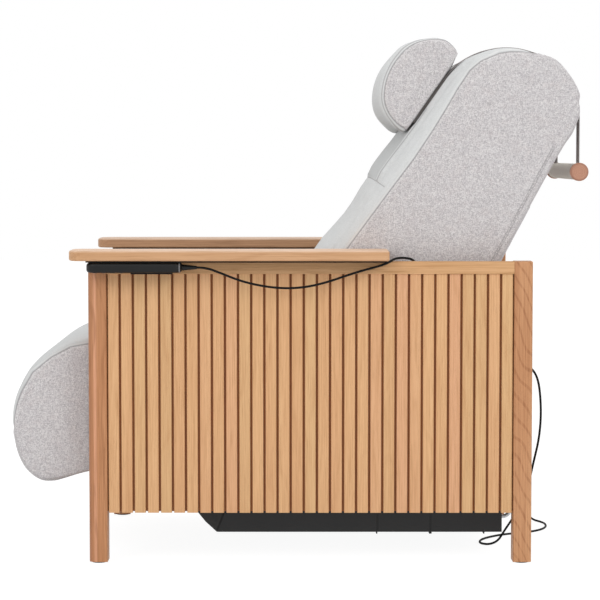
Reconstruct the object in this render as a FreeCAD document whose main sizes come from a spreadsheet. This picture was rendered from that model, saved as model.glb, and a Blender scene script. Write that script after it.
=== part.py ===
"""Reflexology chair: slatted wooden sides, reclining padded back, swinging calf rest.

Millimetres. X runs from the sitter's feet to the back, Y from the sitter's left to the right, Z up.
The origin is on the floor, in the middle of the chair's outline.
"""
import FreeCAD, Part
import math
import os
from types import SimpleNamespace

import Sketcher

SIZES = {
    # Side frames: square legs, a top rail and a boarded panel with upright slats
    "arm_span": 720,
    "arm_reach": 50,
    "panel_length": 860,
    "panel_rear": 450,
    "leg_width": 36,
    "leg_depth": 44,
    "leg_top": 588,
    "leg_edge": 3,
    "front_leg_corner": 12,
    "rear_leg_corner": 6,
    "glide_height": 3,
    "glide_radius": 14,
    "rail_height": 24,
    "rail_depth": 24,
    "rail_recess": 1.5,
    "rail_edge": 2,
    "board_thickness": 12,
    "board_low": 101,
    "slat_thickness": 8,
    "slat_recess": 4,
    "slat_gap": 4.5,
    "slat_count": 31,
    "slat_low": 99,
    "slat_edge": 1.2,
    # Arms: wooden boards on thin steel plates
    "arm_lap": 50,
    "arm_length": 614,
    "arm_overhang": 33,
    "arm_thickness": 20,
    "arm_nose": 26,
    "arm_rear_corner": 6,
    "arm_edge": 4,
    "plate_thickness": 3,
    "plate_margin": 10,
    "plate_inset": 2.5,
    "plate_corner": 6,
    "arm_screw_inset": 13,
    "arm_screw_head": 4.5,
    "arm_screw_head_height": 2.6,
    "arm_screw_shank": 2.4,
    "arm_screw_length": 12,
    "arm_screw_start": 80,
    "arm_screw_pitch": 145,
    "screw_gap": 0.1,
    # Cross pieces of the base
    "cross_rail_depth": 24,
    "front_cross_low": 100,
    "front_cross_height": 44,
    "rear_cross_low": 182,
    "rear_cross_height": 68,
    "cross_inset": 6,
    # Seat rails, crossbars and seat
    "seat_rail_width": 24,
    "seat_rail_low": 345,
    "seat_rail_high": 425,
    "seat_rail_rear": 55,
    "crossbar_width": 30,
    "crossbar_height": 40,
    "crossbar_wall": 2,
    "crossbar_front": -318,
    "crossbar_rear": -135,
    "crossbar_end_gap": 0.3,
    "seat_board_thickness": 15,
    "seat_side_gap": 4,
    "seat_board_inset": 3,
    "seat_thickness": 41,
    "seat_crown": 6,
    "seat_edge": 12,
    "seat_clearance": 3,
    # Pivots of the back and of the calf rest
    "back_pivot_x": 0,
    "pivot_z": 400,
    "legrest_pivot_x": -385,
    "pivot_plate_thickness": 5,
    "pivot_plate_nose": 22,
    "legrest_plate_tail": 63,
    "back_plate_tail": 98,
    "stub_radius": 10,
    "running_gap": 0.05,
    "bush_radius": 13,
    "bush_flange_radius": 16,
    "bush_flange_height": 0.6,
    "pivot_bolt_inset": 10,
    "pivot_bolt_rise": 12,
    "pivot_bolt_head": 5,
    "pivot_bolt_head_height": 2.4,
    "pivot_bolt_shank": 3,
    "pivot_bolt_length": 20,
    "tube_end_gap": 1.5,
    "padding_side_gap": 0.5,
    "stub_end_gap": 0.5,
    "stub_plug": 15,
    # Upholstered back, drawn from the line of its front face
    "back_crown_width": 50,
    "back_front_angle": 55.2,
    "back_front_offset": 77,
    "back_front_crown": 24,
    "back_rear_crown": 9,
    "back_top_along": 606,
    "back_top_radius": 148.7,
    "back_rear_angle": 61.8,
    "back_shoulder_angle": 20,
    "back_shoulder_radius": 62.65,
    "back_crown_lean": 26.8,
    "back_foot_height": 505,
    "back_heel_along": 60,
    "back_heel_across": 30,
    "back_roll_end": 297,
    # Steel frame inside the back
    "back_tube_radius": 17,
    "back_tube_wall": 3,
    "back_bar_angle": 59,
    "back_bar_half": 15,
    "back_bar_inset": 85,
    "back_bar_length": 520,
    "back_crossbar_along": 250,
    "back_board_thickness": 12,
    "back_board_start": 60,
    "back_board_inset": 50,
    "foam_gap": 0.3,
    # Slotted levers and actuators
    "back_travel": 42,
    "legrest_travel": 50,
    "back_lever_length": 100,
    "legrest_lever_length": 80,
    "lever_thickness": 8,
    "lever_half_width": 17,
    "lever_hub_radius": 27,
    "back_slot_gap": 0.8,
    "legrest_slot_gap": 1.1,
    "pin_radius": 6,
    "pin_head_gap": 1.5,
    "fork_gap": 1,
    "fork_cheek": 6,
    "fork_height": 26,
    "fork_rear": 34,
    "fork_front": 14,
    "fork_web": 8,
    "actuator_y": 70,
    "rod_radius": 10,
    "rod_overlap": 40,
    "sleeve_radius": 16,
    "back_sleeve": 173,
    "legrest_sleeve": 136,
    "back_nose_length": 80,
    "legrest_nose_length": 5,
    "gearbox_length": 44,
    "gearbox_height": 48,
    "gearbox_inner": 24,
    "gearbox_outer": 74,
    "gearbox_corner": 6,
    "motor_radius": 21,
    "motor_length": 120,
    "motor_offset": 46,
    "lug_half": 5,
    "lug_radius": 10,
    "mount_pin_radius": 5,
    "bracket_cheek": 4,
    "bracket_gap": 0.5,
    # Upholstered calf rest, drawn from its pivot
    "legrest_crown": 8,
    "legrest_crown_width": 40,
    "legrest_roll": 42,
    "legrest_rear": 16,
    "legrest_front": 182,
    "legrest_tube_radius": 15,
    "legrest_tube_wall": 3,
    "legrest_board_head": 42,
    "legrest_board_foot": 212,
    "legrest_board_inset": 25,
    "legrest_arm_thickness": 8,
    "legrest_arm_inset": 85,
    "legrest_arm_width": 30,
    # Belly pan in three folded sections, and what it holds
    "pan_side_gap": 82,
    "pan_wall": 2.5,
    "pan_low": 40,
    "pan_high": 205,
    "pan_keel": -167,
    "pan_bow": -236,
    "pan_bow_inset": 68,
    "pan_cheek": -103,
    "pan_front_seam": 155,
    "pan_rear_seam": 261,
    "pan_rear_fold": 367,
    "pan_rear": 404,
    "pan_lip_height": 4,
    "pan_lip_inset": 2,
    "pan_seam_gap": 0.2,
    "hanger_x": -125,
    "hanger_width": 20,
    "hanger_thickness": 3,
    "hanger_foot": 34,
    "hanger_low": 165,
    "stay_radius": 4,
    "stay_y": 60,
    "stay_z": 52,
    "stay_bend_radius": 16,
    "control_front": 250,
    "control_length": 130,
    "control_inner": 30,
    "control_side_gap": 20,
    "control_height": 40,
    "control_edge": 4,
    "inlet_inset": 80,
    "inlet_z": 110,
    "inlet_width": 28,
    "inlet_height": 20,
    "inlet_depth": 18,
    "inlet_flange_width": 5,
    "inlet_flange_thickness": 2,
    "inlet_wall": 2,
    "inlet_pin": 1,
    "inlet_pin_pitch": 7,
    "gland_inset": 30,
    "gland_z": 80,
    "gland_radius": 9,
    "gland_neck_radius": 6,
    "gland_nose_radius": 5,
    "gland_length": 18,
    "gland_flange_thickness": 4,
    # Head pillow, its straps and the counterweight roller
    "pillow_side_gap": 43,
    "pillow_along": 482,
    "pillow_thickness": 103,
    "pillow_gap": 2.2,
    "pillow_edge": 10,
    "strap_thickness": 1.6,
    "strap_seat": 0.2,
    "strap_width": 40,
    "strap_inset": 7,
    "roller_z": 760,
    "roller_radius": 18,
    "roller_core_radius": 14,
    "roller_overhang": 12,
    "roller_cap": 12,
    "roller_sleeve": 2,
    "roller_edge": 2,
    # Handset, its keys, its holder and its cord
    "handset_front": -409,
    "handset_length": 183,
    "handset_side_gap": 2,
    "handset_width": 46,
    "handset_height": 19,
    "handset_top_gap": 0.6,
    "handset_end": 16,
    "handset_edge": 6,
    "key_radius": 5,
    "key_gap": 0.5,
    "key_height": 4,
    "key_proud": 1.2,
    "key_travel": 1,
    "key_inset": 16,
    "key_pitch": 17,
    "key_edge": 0.8,
    "relief_length": 28,
    "relief_radius": 6,
    "relief_tip": 3.2,
    "holder_front": -324,
    "holder_length": 79,
    "holder_thickness": 2.6,
    "holder_reach": 40,
    "holder_gap": 0.3,
    "cord_radius": 2.25,
    "cut_overrun": 1,
}


class Size:
    """A size of the sheet, or a sum of such sizes, with the expression that gives it."""

    def __init__(self, value, text):
        self.value = value
        self.text = text

    def joined(self, sign, other, value):
        return Size(value, "(" + self.text + " " + sign + " " + other.text + ")")

    def __add__(self, other):
        other = as_size(other)
        return self.joined("+", other, self.value + other.value)

    def __sub__(self, other):
        other = as_size(other)
        return self.joined("-", other, self.value - other.value)

    def __mul__(self, other):
        other = as_size(other)
        return self.joined("*", other, self.value * other.value)

    def __truediv__(self, other):
        other = as_size(other)
        return self.joined("/", other, self.value / other.value)

    def __radd__(self, other):
        return as_size(other) + self

    def __rsub__(self, other):
        return as_size(other) - self

    def __rmul__(self, other):
        return as_size(other) * self

    def __neg__(self):
        return Size(-self.value, "(0 - " + self.text + ")")


def as_size(item):
    return item if isinstance(item, Size) else Size(float(item), repr(float(item)))


def sine(angle):
    angle = as_size(angle)
    return Size(math.sin(math.radians(angle.value)), "sin(" + angle.text + ")")


def cosine(angle):
    angle = as_size(angle)
    return Size(math.cos(math.radians(angle.value)), "cos(" + angle.text + ")")


doc = FreeCAD.newDocument("reflexology_chair")
sheet = doc.addObject("Spreadsheet::Sheet", "sizes")
for row, (alias, number) in enumerate(SIZES.items(), start=1):
    sheet.set("A%d" % row, alias)
    sheet.set("B%d" % row, str(number))
    sheet.setAlias("B%d" % row, alias)
doc.recompute()
s = SimpleNamespace(**{alias: Size(float(sheet.get(alias)), "sizes." + alias) for alias in SIZES})
NODES = []


def bind(item, name, size):
    item.setExpression(name, as_size(size).text)


def side_span(side, inner, outer):
    """Lowest and highest Y of what lies between two distances from the middle, on one side."""
    return (inner, outer) if side > 0 else (-outer, -inner)


def body_named(label):
    body = doc.addObject("PartDesign::Body", label)
    body.Label = label
    NODES.append(body)
    return body


def own_plane(body, role):
    return next(item for item in body.Origin.OriginFeatures if item.Role == role)


def sketch_on(body, role, offset=0):
    """A sketch on one of the body's own planes, moved along the plane's normal."""
    sketch = body.newObject("Sketcher::SketchObject", body.Name + "_outline")
    sketch.AttachmentSupport = (own_plane(body, role), [""])
    sketch.MapMode = "FlatFace"
    bind(sketch, "AttachmentOffset.Base.z", offset)
    return sketch


def hold(sketch, kind, edge, end, size):
    """Tie one coordinate of a point of the sketch to a size."""
    number = sketch.addConstraint(Sketcher.Constraint(kind, -1, 1, edge, end, size.value))
    sketch.setExpression("Constraints[%d]" % number, size.text)


def vector(place):
    return FreeCAD.Vector(as_size(place[0]).value, as_size(place[1]).value, 0)


def draw(sketch, path):
    """A closed outline. A step is an end point, or an arc's middle point, end point and radius."""
    first = sketch.GeometryCount
    steps = [step if len(step) == 3 else (None, step, None) for step in path]
    start = steps[-1][1]
    for middle, end, radius in steps:
        if middle is None:
            edge = Part.LineSegment(vector(start), vector(end))
        else:
            edge = Part.ArcOfCircle(vector(start), vector(middle), vector(end))
        number = sketch.addGeometry(edge, False)
        if radius is not None:
            held = sketch.addConstraint(Sketcher.Constraint("Radius", number, radius.value))
            sketch.setExpression("Constraints[%d]" % held, radius.text)
        start = end
    for index, (middle, end, radius) in enumerate(steps):
        number = first + index
        following = first + (index + 1) % len(steps)
        swapped = ends_swapped(sketch, number)
        next_swapped = ends_swapped(sketch, following)
        here = 1 if swapped else 2
        there = 2 if next_swapped else 1
        sketch.addConstraint(Sketcher.Constraint("Coincident", number, here, following, there))
        hold(sketch, "DistanceX", number, here, as_size(end[0]))
        hold(sketch, "DistanceY", number, here, as_size(end[1]))


def ends_swapped(sketch, number):
    """An arc drawn clockwise keeps its end point first."""
    edge = sketch.Geometry[number]
    return isinstance(edge, Part.ArcOfCircle) and edge.Circle.Axis.z < 0


def draw_circle(sketch, centre, radius):
    circle = Part.Circle(vector(centre), FreeCAD.Vector(0, 0, 1), as_size(radius).value)
    number = sketch.addGeometry(circle, False)
    held = sketch.addConstraint(Sketcher.Constraint("Radius", number, as_size(radius).value))
    sketch.setExpression("Constraints[%d]" % held, as_size(radius).text)
    hold(sketch, "DistanceX", number, 3, as_size(centre[0]))
    hold(sketch, "DistanceY", number, 3, as_size(centre[1]))


def rectangle(low_a, high_a, low_b, high_b):
    return [(high_a, low_b), (high_a, high_b), (low_a, high_b), (low_a, low_b)]


def extrude(body, role, outlines, low, high, circles=(), cut=False):
    """Pad or pocket outlines on a plane of the body, between two places along its axis."""
    low = as_size(low)
    high = as_size(high)
    facing_back = role == "XZ_Plane"
    sketch = sketch_on(body, role, -high if facing_back else low)
    for path in outlines:
        draw(sketch, path)
    for centre, radius in circles:
        draw_circle(sketch, centre, radius)
    kind = "PartDesign::Pocket" if cut else "PartDesign::Pad"
    feature = body.newObject(kind, body.Name + ("_cut" if cut else "_pad"))
    feature.Profile = sketch
    feature.Type = "Length"
    feature.Reversed = cut
    bind(feature, "Length", high - low)
    before = body_volume(body, feature)
    doc.recompute()
    change = feature.Shape.Volume - before
    if (change >= 0) if cut else (change <= 0):
        raise RuntimeError(body.Name + ": an extrusion points the wrong way")
    return feature


def body_volume(body, feature):
    base = feature.BaseFeature
    return base.Shape.Volume if base is not None else 0.0


def soften(body, radius, wanted, kind="Fillet"):
    """Round or bevel the edges of the body's last feature that a test picks."""
    base = body.Tip
    names = ["Edge%d" % (n + 1) for n, edge in enumerate(base.Shape.Edges) if wanted(edge.BoundBox)]
    feature = body.newObject("PartDesign::" + kind, body.Name + "_" + kind.lower())
    feature.Base = (base, names)
    bind(feature, "Radius" if kind == "Fillet" else "Size", radius)
    doc.recompute()
    return feature


def near(first, second):
    return abs(first - as_size(second).value) < s.running_gap.value


def upright(box):
    return box.ZLength > box.XLength + box.YLength and near(box.XLength, 0) and near(box.YLength, 0)


def level_at(height):
    return lambda box: near(box.ZMin, height) and near(box.ZMax, height)


def mirror_across(body):
    """Repeat the body's features on the other side of the chair."""
    originals = [item for item in body.Group if item.TypeId in ("PartDesign::Pad", "PartDesign::Pocket",
                                                                "PartDesign::AdditivePipe")]
    feature = body.newObject("PartDesign::Mirrored", body.Name + "_mirrored")
    feature.Originals = originals
    feature.MirrorPlane = (own_plane(body, "XZ_Plane"), [""])
    body.Tip = feature
    doc.recompute()
    return feature


def box_node(label, low, high):
    """A plain board or block as one primitive."""
    box = doc.addObject("Part::Box", label)
    box.Label = label
    low = [as_size(item) for item in low]
    high = [as_size(item) for item in high]
    for name, start, end in zip(("Length", "Width", "Height"), low, high):
        bind(box, name, end - start)
    for name, start in zip("xyz", low):
        bind(box, "Placement.Base." + name, start)
    NODES.append(box)
    return box


def shape_node(label, shape):
    """A piece whose shape is worked out with the kernel's own functions."""
    item = doc.addObject("Part::Feature", label)
    item.Label = label
    item.Shape = shape
    item.Placement = FreeCAD.Placement()
    NODES.append(item)
    return item


def turned(origin, along, across, angle):
    """A point given along a slanted line through the origin and across it, towards the front."""
    x = origin[0] + along * cosine(angle) - across * sine(angle)
    z = origin[1] + along * sine(angle) + across * cosine(angle)
    return (x, z)


def polar(centre, radius, angle):
    return (centre[0] + radius * cosine(angle), centre[1] + radius * sine(angle))


def arc_steps(centre, radius, first, last):
    """Outline steps along an arc, in pieces of a quarter turn or less."""
    first = as_size(first)
    last = as_size(last)
    pieces = math.ceil(abs(last.value - first.value) / 90 - 0.001)
    turn = (last - first) / pieces
    steps = []
    for piece in range(pieces):
        middle = polar(centre, radius, first + turn * (piece + 0.5))
        end = polar(centre, radius, first + turn * (piece + 1))
        steps.append((middle, end, as_size(radius)))
    return steps


def arc_radius(start, middle, end):
    """Radius of the circle through three places given as shares."""
    sides = math.dist(start, middle) * math.dist(middle, end) * math.dist(end, start)
    across = (middle[0] - start[0]) * (end[1] - start[1]) - (end[0] - start[0]) * (middle[1] - start[1])
    return sides / abs(across * 2)


def loft(body, kind, sketches):
    feature = body.newObject(kind, body.Name + "_loft")
    feature.Profile = sketches[0]
    feature.Sections = sketches[1:]
    feature.Ruled = True
    doc.recompute()


# Places that many pieces share
panel_front = s.panel_rear - s.panel_length
arm_outer = s.arm_span / 2
panel_half = arm_outer - s.arm_reach
front_leg_rear = panel_front + s.leg_width
rear_leg_front = s.panel_rear - s.leg_width
rail_low = s.leg_top - s.rail_height
arm_low = s.leg_top + s.plate_thickness
arm_high = arm_low + s.arm_thickness
arm_inner = panel_half - s.arm_lap
arm_front = panel_front - s.arm_overhang
arm_rear = arm_front + s.arm_length
back_pivot = (s.back_pivot_x, s.pivot_z)
legrest_pivot = (s.legrest_pivot_x, s.pivot_z)
SIDES = (("left", -1), ("right", 1))

# Distances from the middle, from the boarded panel inwards
board_outer = panel_half - s.slat_recess - s.slat_thickness
board_inner = board_outer - s.board_thickness
seat_rail_inner = board_inner - s.seat_rail_width
pivot_plate_inner = seat_rail_inner - s.pivot_plate_thickness
tube_half = pivot_plate_inner - s.tube_end_gap
padding_half = tube_half - s.padding_side_gap
seat_half = pivot_plate_inner - s.seat_side_gap
pillow_half = padding_half - s.pillow_side_gap
strap_outer = pillow_half - s.strap_inset
strap_inner = strap_outer - s.strap_width
pan_half = seat_rail_inner - s.pan_side_gap
inlet_y = s.inlet_inset - pan_half
gland_y = pan_half - s.gland_inset


# Side frames

def leg(label, low_x, side, corner, corner_x):
    """A square leg. Its outer edge at one end of the panel has a larger round."""
    body = body_named(label)
    low_y, high_y = side_span(side, panel_half - s.leg_depth, panel_half)
    outer_y = high_y if side > 0 else low_y
    outline = rectangle(low_x, low_x + s.leg_width, low_y, high_y)
    extrude(body, "XY_Plane", [outline], s.glide_height, s.leg_top)
    soften(body, corner, lambda box: upright(box) and near(box.XMin, corner_x) and near(box.YMin, outer_y))
    soften(body, s.leg_edge, lambda box: upright(box) and box.XLength < s.running_gap.value
           and abs(box.XMin - corner_x.value) + abs(box.YMin - outer_y.value) > corner.value * 2)
    soften(body, s.leg_edge / 2, level_at(s.leg_top))


def foot_glides():
    """Round plastic glides under the four legs."""
    body = body_named("foot_glides")
    leg_y = panel_half - s.leg_depth / 2
    places = [(x, y) for x in (panel_front + s.leg_width / 2, s.panel_rear - s.leg_width / 2)
              for y in (leg_y, -leg_y)]
    extrude(body, "XY_Plane", [], 0, s.glide_height, circles=[(place, s.glide_radius) for place in places])
    return body


def top_rail(label, side):
    body = body_named(label)
    outer = panel_half - s.rail_recess
    low_y, high_y = side_span(side, outer - s.rail_depth, outer)
    outline = rectangle(front_leg_rear, rear_leg_front, low_y, high_y)
    extrude(body, "XY_Plane", [outline], rail_low, s.leg_top)
    soften(body, s.rail_edge, lambda box: level_at(s.leg_top)(box) and box.XLength > s.rail_depth.value * 2)
    return body


def side_board(label, side):
    low_y, high_y = side_span(side, board_inner, board_outer)
    return box_node(label, (front_leg_rear, low_y, s.board_low), (rear_leg_front, high_y, rail_low))


def slats(label, side):
    """Upright slats with eased outer edges, side by side on the board."""
    body = body_named(label)
    outer = panel_half - s.slat_recess
    pitch = (s.panel_length - s.leg_width * 2) / s.slat_count
    low_x = front_leg_rear + s.slat_gap / 2
    high_x = low_x + pitch - s.slat_gap
    sign = 1 if side > 0 else -1
    eased = outer - s.slat_edge
    outline = [(low_x, board_outer * sign), (high_x, board_outer * sign), (high_x, eased * sign),
               (high_x - s.slat_edge, outer * sign), (low_x + s.slat_edge, outer * sign),
               (low_x, eased * sign)]
    extrude(body, "XY_Plane", [outline], s.slat_low, rail_low)
    pattern = body.newObject("PartDesign::LinearPattern", body.Name + "_row")
    pattern.Originals = [item for item in body.Group if item.TypeId == "PartDesign::Pad"]
    pattern.Direction = (own_plane(body, "X_Axis"), [""])
    bind(pattern, "Length", pitch * (s.slat_count - 1))
    bind(pattern, "Occurrences", s.slat_count)
    body.Tip = pattern
    doc.recompute()
    return body


# Arms

SCREWS_PER_ARM = 4


def arm_screw_places(side):
    first = panel_front + s.arm_screw_start
    y = (arm_inner + s.arm_screw_inset) * side
    return [(first + s.arm_screw_pitch * step, y) for step in range(SCREWS_PER_ARM)]


def arm(label, side):
    """A board with a rounded front end and eased edges, drilled from below for its screws."""
    body = body_named(label)
    low_y, high_y = side_span(side, arm_inner, arm_outer)
    extrude(body, "XY_Plane", [rectangle(arm_front, arm_rear, low_y, high_y)], arm_low, arm_high)
    soften(body, s.arm_nose, lambda box: upright(box) and near(box.XMin, arm_front))
    soften(body, s.arm_rear_corner, lambda box: upright(box) and near(box.XMin, arm_rear))
    soften(body, s.arm_edge, lambda box: level_at(arm_low)(box) or level_at(arm_high)(box))
    holes = [(place, s.arm_screw_shank + s.screw_gap) for place in arm_screw_places(side)]
    extrude(body, "XY_Plane", [], arm_low, arm_low + s.arm_screw_length, circles=holes, cut=True)
    return body


def arm_plates():
    """The thin steel plates that carry the arms on the legs and rails."""
    body = body_named("arm_plates")
    outline = rectangle(panel_front, arm_rear - s.arm_edge, arm_inner + s.plate_inset,
                        arm_outer - s.plate_margin)
    extrude(body, "XY_Plane", [outline], s.leg_top, arm_low)
    soften(body, s.plate_corner, upright)
    holes = [(place, s.arm_screw_shank + s.screw_gap) for place in arm_screw_places(1)]
    extrude(body, "XY_Plane", [], s.leg_top, arm_low, circles=holes, cut=True)
    mirror_across(body)


def arm_screws():
    """Pan-head screws that hold the arms down to their plates from below."""
    heads = []
    for side in (-1, 1):
        for x, y in arm_screw_places(side):
            place = FreeCAD.Vector(x.value, y.value, s.leg_top.value)
            head = Part.makeCylinder(s.arm_screw_head.value, s.arm_screw_head_height.value, place,
                                     FreeCAD.Vector(0, 0, -1))
            shank = Part.makeCylinder(s.arm_screw_shank.value,
                                      (s.plate_thickness + s.arm_screw_length - s.screw_gap).value, place)
            heads.append(head.fuse(shank))
    return shape_node("arm_screws", Part.Compound(heads))


# Base

def cross_rail(label, low_x, low_z, height):
    body = body_named(label)
    inner = panel_half - s.leg_depth
    outline = rectangle(low_x, low_x + s.cross_rail_depth, -inner, inner)
    extrude(body, "XY_Plane", [outline], low_z, low_z + height)
    soften(body, s.rail_edge, lambda box: box.YLength > inner.value)
    return body


def pivot_bolt_places():
    """The bolts of the four pivot plates, as places on the side faces."""
    legrest_x = s.legrest_pivot_x + s.legrest_plate_tail - s.pivot_bolt_inset
    back_x = s.back_pivot_x - s.back_plate_tail + s.pivot_bolt_inset
    return [(x, s.pivot_z + s.pivot_bolt_rise * up) for x in (legrest_x, back_x) for up in (-1, 1)]


def seat_rails():
    """Wooden rails screwed to the side boards. They carry the pivots and the seat."""
    body = body_named("seat_rails")
    outline = rectangle(front_leg_rear, s.seat_rail_rear, s.seat_rail_low, s.seat_rail_high)
    extrude(body, "XZ_Plane", [outline], seat_rail_inner, board_inner)
    holes = [(place, s.pivot_bolt_shank + s.screw_gap) for place in pivot_bolt_places()]
    depth = s.pivot_bolt_length - s.pivot_plate_thickness + s.screw_gap
    extrude(body, "XZ_Plane", [], seat_rail_inner, seat_rail_inner + depth, circles=holes, cut=True)
    mirror_across(body)
    return body


def seat_crossbars():
    """Two square steel tubes between the seat rails."""
    body = body_named("seat_crossbars")
    reach = seat_rail_inner - s.crossbar_end_gap
    outlines = []
    for low_x in (s.crossbar_front, s.crossbar_rear):
        high_x = low_x + s.crossbar_width
        high_z = s.seat_rail_low + s.crossbar_height
        wall = s.crossbar_wall
        outlines.append(rectangle(low_x, high_x, s.seat_rail_low, high_z))
        outlines.append(rectangle(low_x + wall, high_x - wall, s.seat_rail_low + wall, high_z - wall))
    extrude(body, "XZ_Plane", outlines, -reach, reach)
    return body


seat_front = s.legrest_pivot_x + s.legrest_roll + s.seat_clearance
seat_rear = s.back_pivot_x - s.back_front_offset - s.seat_clearance
seat_board_low = s.seat_rail_low + s.crossbar_height
seat_board_high = seat_board_low + s.seat_board_thickness


def seat_board():
    half = seat_half - s.seat_board_inset
    low = (seat_front, -half, seat_board_low)
    high = (seat_rear - s.seat_clearance, half, seat_board_high)
    return box_node("seat_board", low, high)


def seat_cushion():
    """The padded seat between the roll of the calf rest and the roll of the back."""
    body = body_named("seat_cushion")
    top = seat_board_high + s.seat_thickness
    middle = ((seat_front + seat_rear) / 2, top + s.seat_crown)
    half_run = (seat_rear - seat_front) / 2
    radius = (half_run * half_run + s.seat_crown * s.seat_crown) / (s.seat_crown * 2)
    outline = [(seat_rear, seat_board_high), (seat_rear, top), (middle, (seat_front, top), radius),
               (seat_front, seat_board_high)]
    extrude(body, "XZ_Plane", [outline], -seat_half, seat_half)
    soften(body, s.seat_edge, lambda box: box.ZMin > top.value - s.seat_crown.value / 4)
    return body


def pivot_plate_outline(pivot, tail, towards):
    """A plate with a round nose at the pivot and a square tail on the rail."""
    nose = s.pivot_plate_nose
    x, z = pivot
    side = nose if towards > 0 else -nose
    start = 90 if towards > 0 else 270
    end = x + tail * towards
    return [(end, z + side), (x, z + side), *arc_steps(pivot, nose, start, start + 180), (end, z - side)]


def pivot_plates():
    body = body_named("pivot_plates")
    outlines = [pivot_plate_outline(legrest_pivot, s.legrest_plate_tail, 1),
                pivot_plate_outline(back_pivot, s.back_plate_tail, -1)]
    circles = [(legrest_pivot, s.bush_radius), (back_pivot, s.bush_radius)]
    circles += [(place, s.pivot_bolt_shank + s.screw_gap) for place in pivot_bolt_places()]
    extrude(body, "XZ_Plane", outlines, pivot_plate_inner, seat_rail_inner, circles=circles)
    mirror_across(body)
    return body


def pivot_bushes():
    """Flanged bronze bushes pressed into the pivot plates."""
    body = body_named("pivot_bushes")
    low_y = pivot_plate_inner
    bore = s.stub_radius + s.running_gap
    sleeves = [(pivot, radius) for pivot in (legrest_pivot, back_pivot) for radius in (s.bush_radius, bore)]
    flanges = [(pivot, radius) for pivot in (legrest_pivot, back_pivot)
               for radius in (s.bush_flange_radius, bore)]
    extrude(body, "XZ_Plane", [], low_y, seat_rail_inner, circles=sleeves)
    extrude(body, "XZ_Plane", [], low_y - s.bush_flange_height, low_y, circles=flanges)
    mirror_across(body)
    return body


def pivot_bolts():
    bolts = []
    for side in (-1, 1):
        for x, z in pivot_bolt_places():
            place = FreeCAD.Vector(x.value, pivot_plate_inner.value * side, z.value)
            head = Part.makeCylinder(s.pivot_bolt_head.value, s.pivot_bolt_head_height.value, place,
                                     FreeCAD.Vector(0, -side, 0))
            shank = Part.makeCylinder(s.pivot_bolt_shank.value, s.pivot_bolt_length.value, place,
                                      FreeCAD.Vector(0, side, 0))
            bolts.append(head.fuse(shank))
    return shape_node("pivot_bolts", Part.Compound(bolts))


# Belly pan

PAN_HEIGHT_SHARES = (0, 0.1, 0.22, 0.45, 1)
PAN_BOW_POWER = 3.8


def pan_bow_outline(height_share, inset):
    """Plan outline of the pan's front section at a share of its height."""
    depth_share = 1 - (1 - height_share) ** PAN_BOW_POWER
    half = pan_half - inset
    bow = s.pan_keel + (s.pan_bow - s.pan_keel) * depth_share + inset
    cheek = s.pan_keel + (s.pan_cheek - s.pan_keel) * height_share + s.pan_wall * (1 - depth_share) + inset
    bow_half = half - s.pan_bow_inset * depth_share - s.pan_wall * (1 - depth_share)
    seam = s.pan_front_seam + (s.cut_overrun if inset.value else 0)
    return [(seam, half), (cheek, half), (bow, bow_half), (bow, -bow_half), (cheek, -half), (seam, -half)]


def pan_lip(body, low_x):
    half = pan_half - s.pan_lip_inset
    outline = rectangle(-half, half, s.pan_low - s.pan_lip_height, s.pan_low)
    extrude(body, "YZ_Plane", [outline], low_x, low_x + s.pan_wall)


def pan_front():
    """Steel section with a curved bow whose corners open into flat cheeks."""
    body = body_named("pan_front")
    for kind, inset, low, high in (("Additive", as_size(0), s.pan_low, s.pan_high),
                                   ("Subtractive", s.pan_wall, s.pan_low + s.pan_wall,
                                    s.pan_high + s.cut_overrun)):
        sketches = []
        for share in PAN_HEIGHT_SHARES:
            sketch = sketch_on(body, "XY_Plane", low + (high - low) * share)
            draw(sketch, pan_bow_outline(share, inset))
            sketches.append(sketch)
        loft(body, "PartDesign::" + kind + "Loft", sketches)
    pan_lip(body, s.pan_front_seam - s.pan_wall)


def pan_channel(label, low_x, high_x, lips):
    """A folded channel with a turned-down lip at its joints."""
    body = body_named(label)
    half = pan_half
    wall = s.pan_wall
    outline = [(-half, s.pan_low), (half, s.pan_low), (half, s.pan_high), (half - wall, s.pan_high),
               (half - wall, s.pan_low + wall), (wall - half, s.pan_low + wall), (wall - half, s.pan_high),
               (-half, s.pan_high)]
    extrude(body, "YZ_Plane", [outline], low_x, high_x)
    for start in lips:
        pan_lip(body, start)
    return body


def pan_middle():
    low = s.pan_front_seam + s.pan_seam_gap
    high = s.pan_rear_seam
    return pan_channel("pan_middle", low, high, [high - s.pan_wall])


def pan_rear():
    """Rear section with its end wall, cut for the mains inlet, the cord gland and the stays."""
    low = s.pan_rear_seam + s.pan_seam_gap
    body = pan_channel("pan_rear", low, s.pan_rear, [low, s.pan_rear_fold])
    inside = pan_half - s.pan_wall
    floor_z = s.pan_low + s.pan_wall
    wall_front = s.pan_rear - s.pan_wall
    extrude(body, "YZ_Plane", [rectangle(-inside, inside, floor_z, s.pan_high)], wall_front, s.pan_rear)
    inlet = rectangle(inlet_y - s.inlet_width / 2, inlet_y + s.inlet_width / 2,
                      s.inlet_z - s.inlet_height / 2, s.inlet_z + s.inlet_height / 2)
    holes = [((gland_y, s.gland_z), s.gland_neck_radius), ((s.stay_y, s.stay_z), s.stay_radius),
             ((-s.stay_y, s.stay_z), s.stay_radius)]
    extrude(body, "YZ_Plane", [inlet], wall_front, s.pan_rear, circles=holes, cut=True)
    return body


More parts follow.
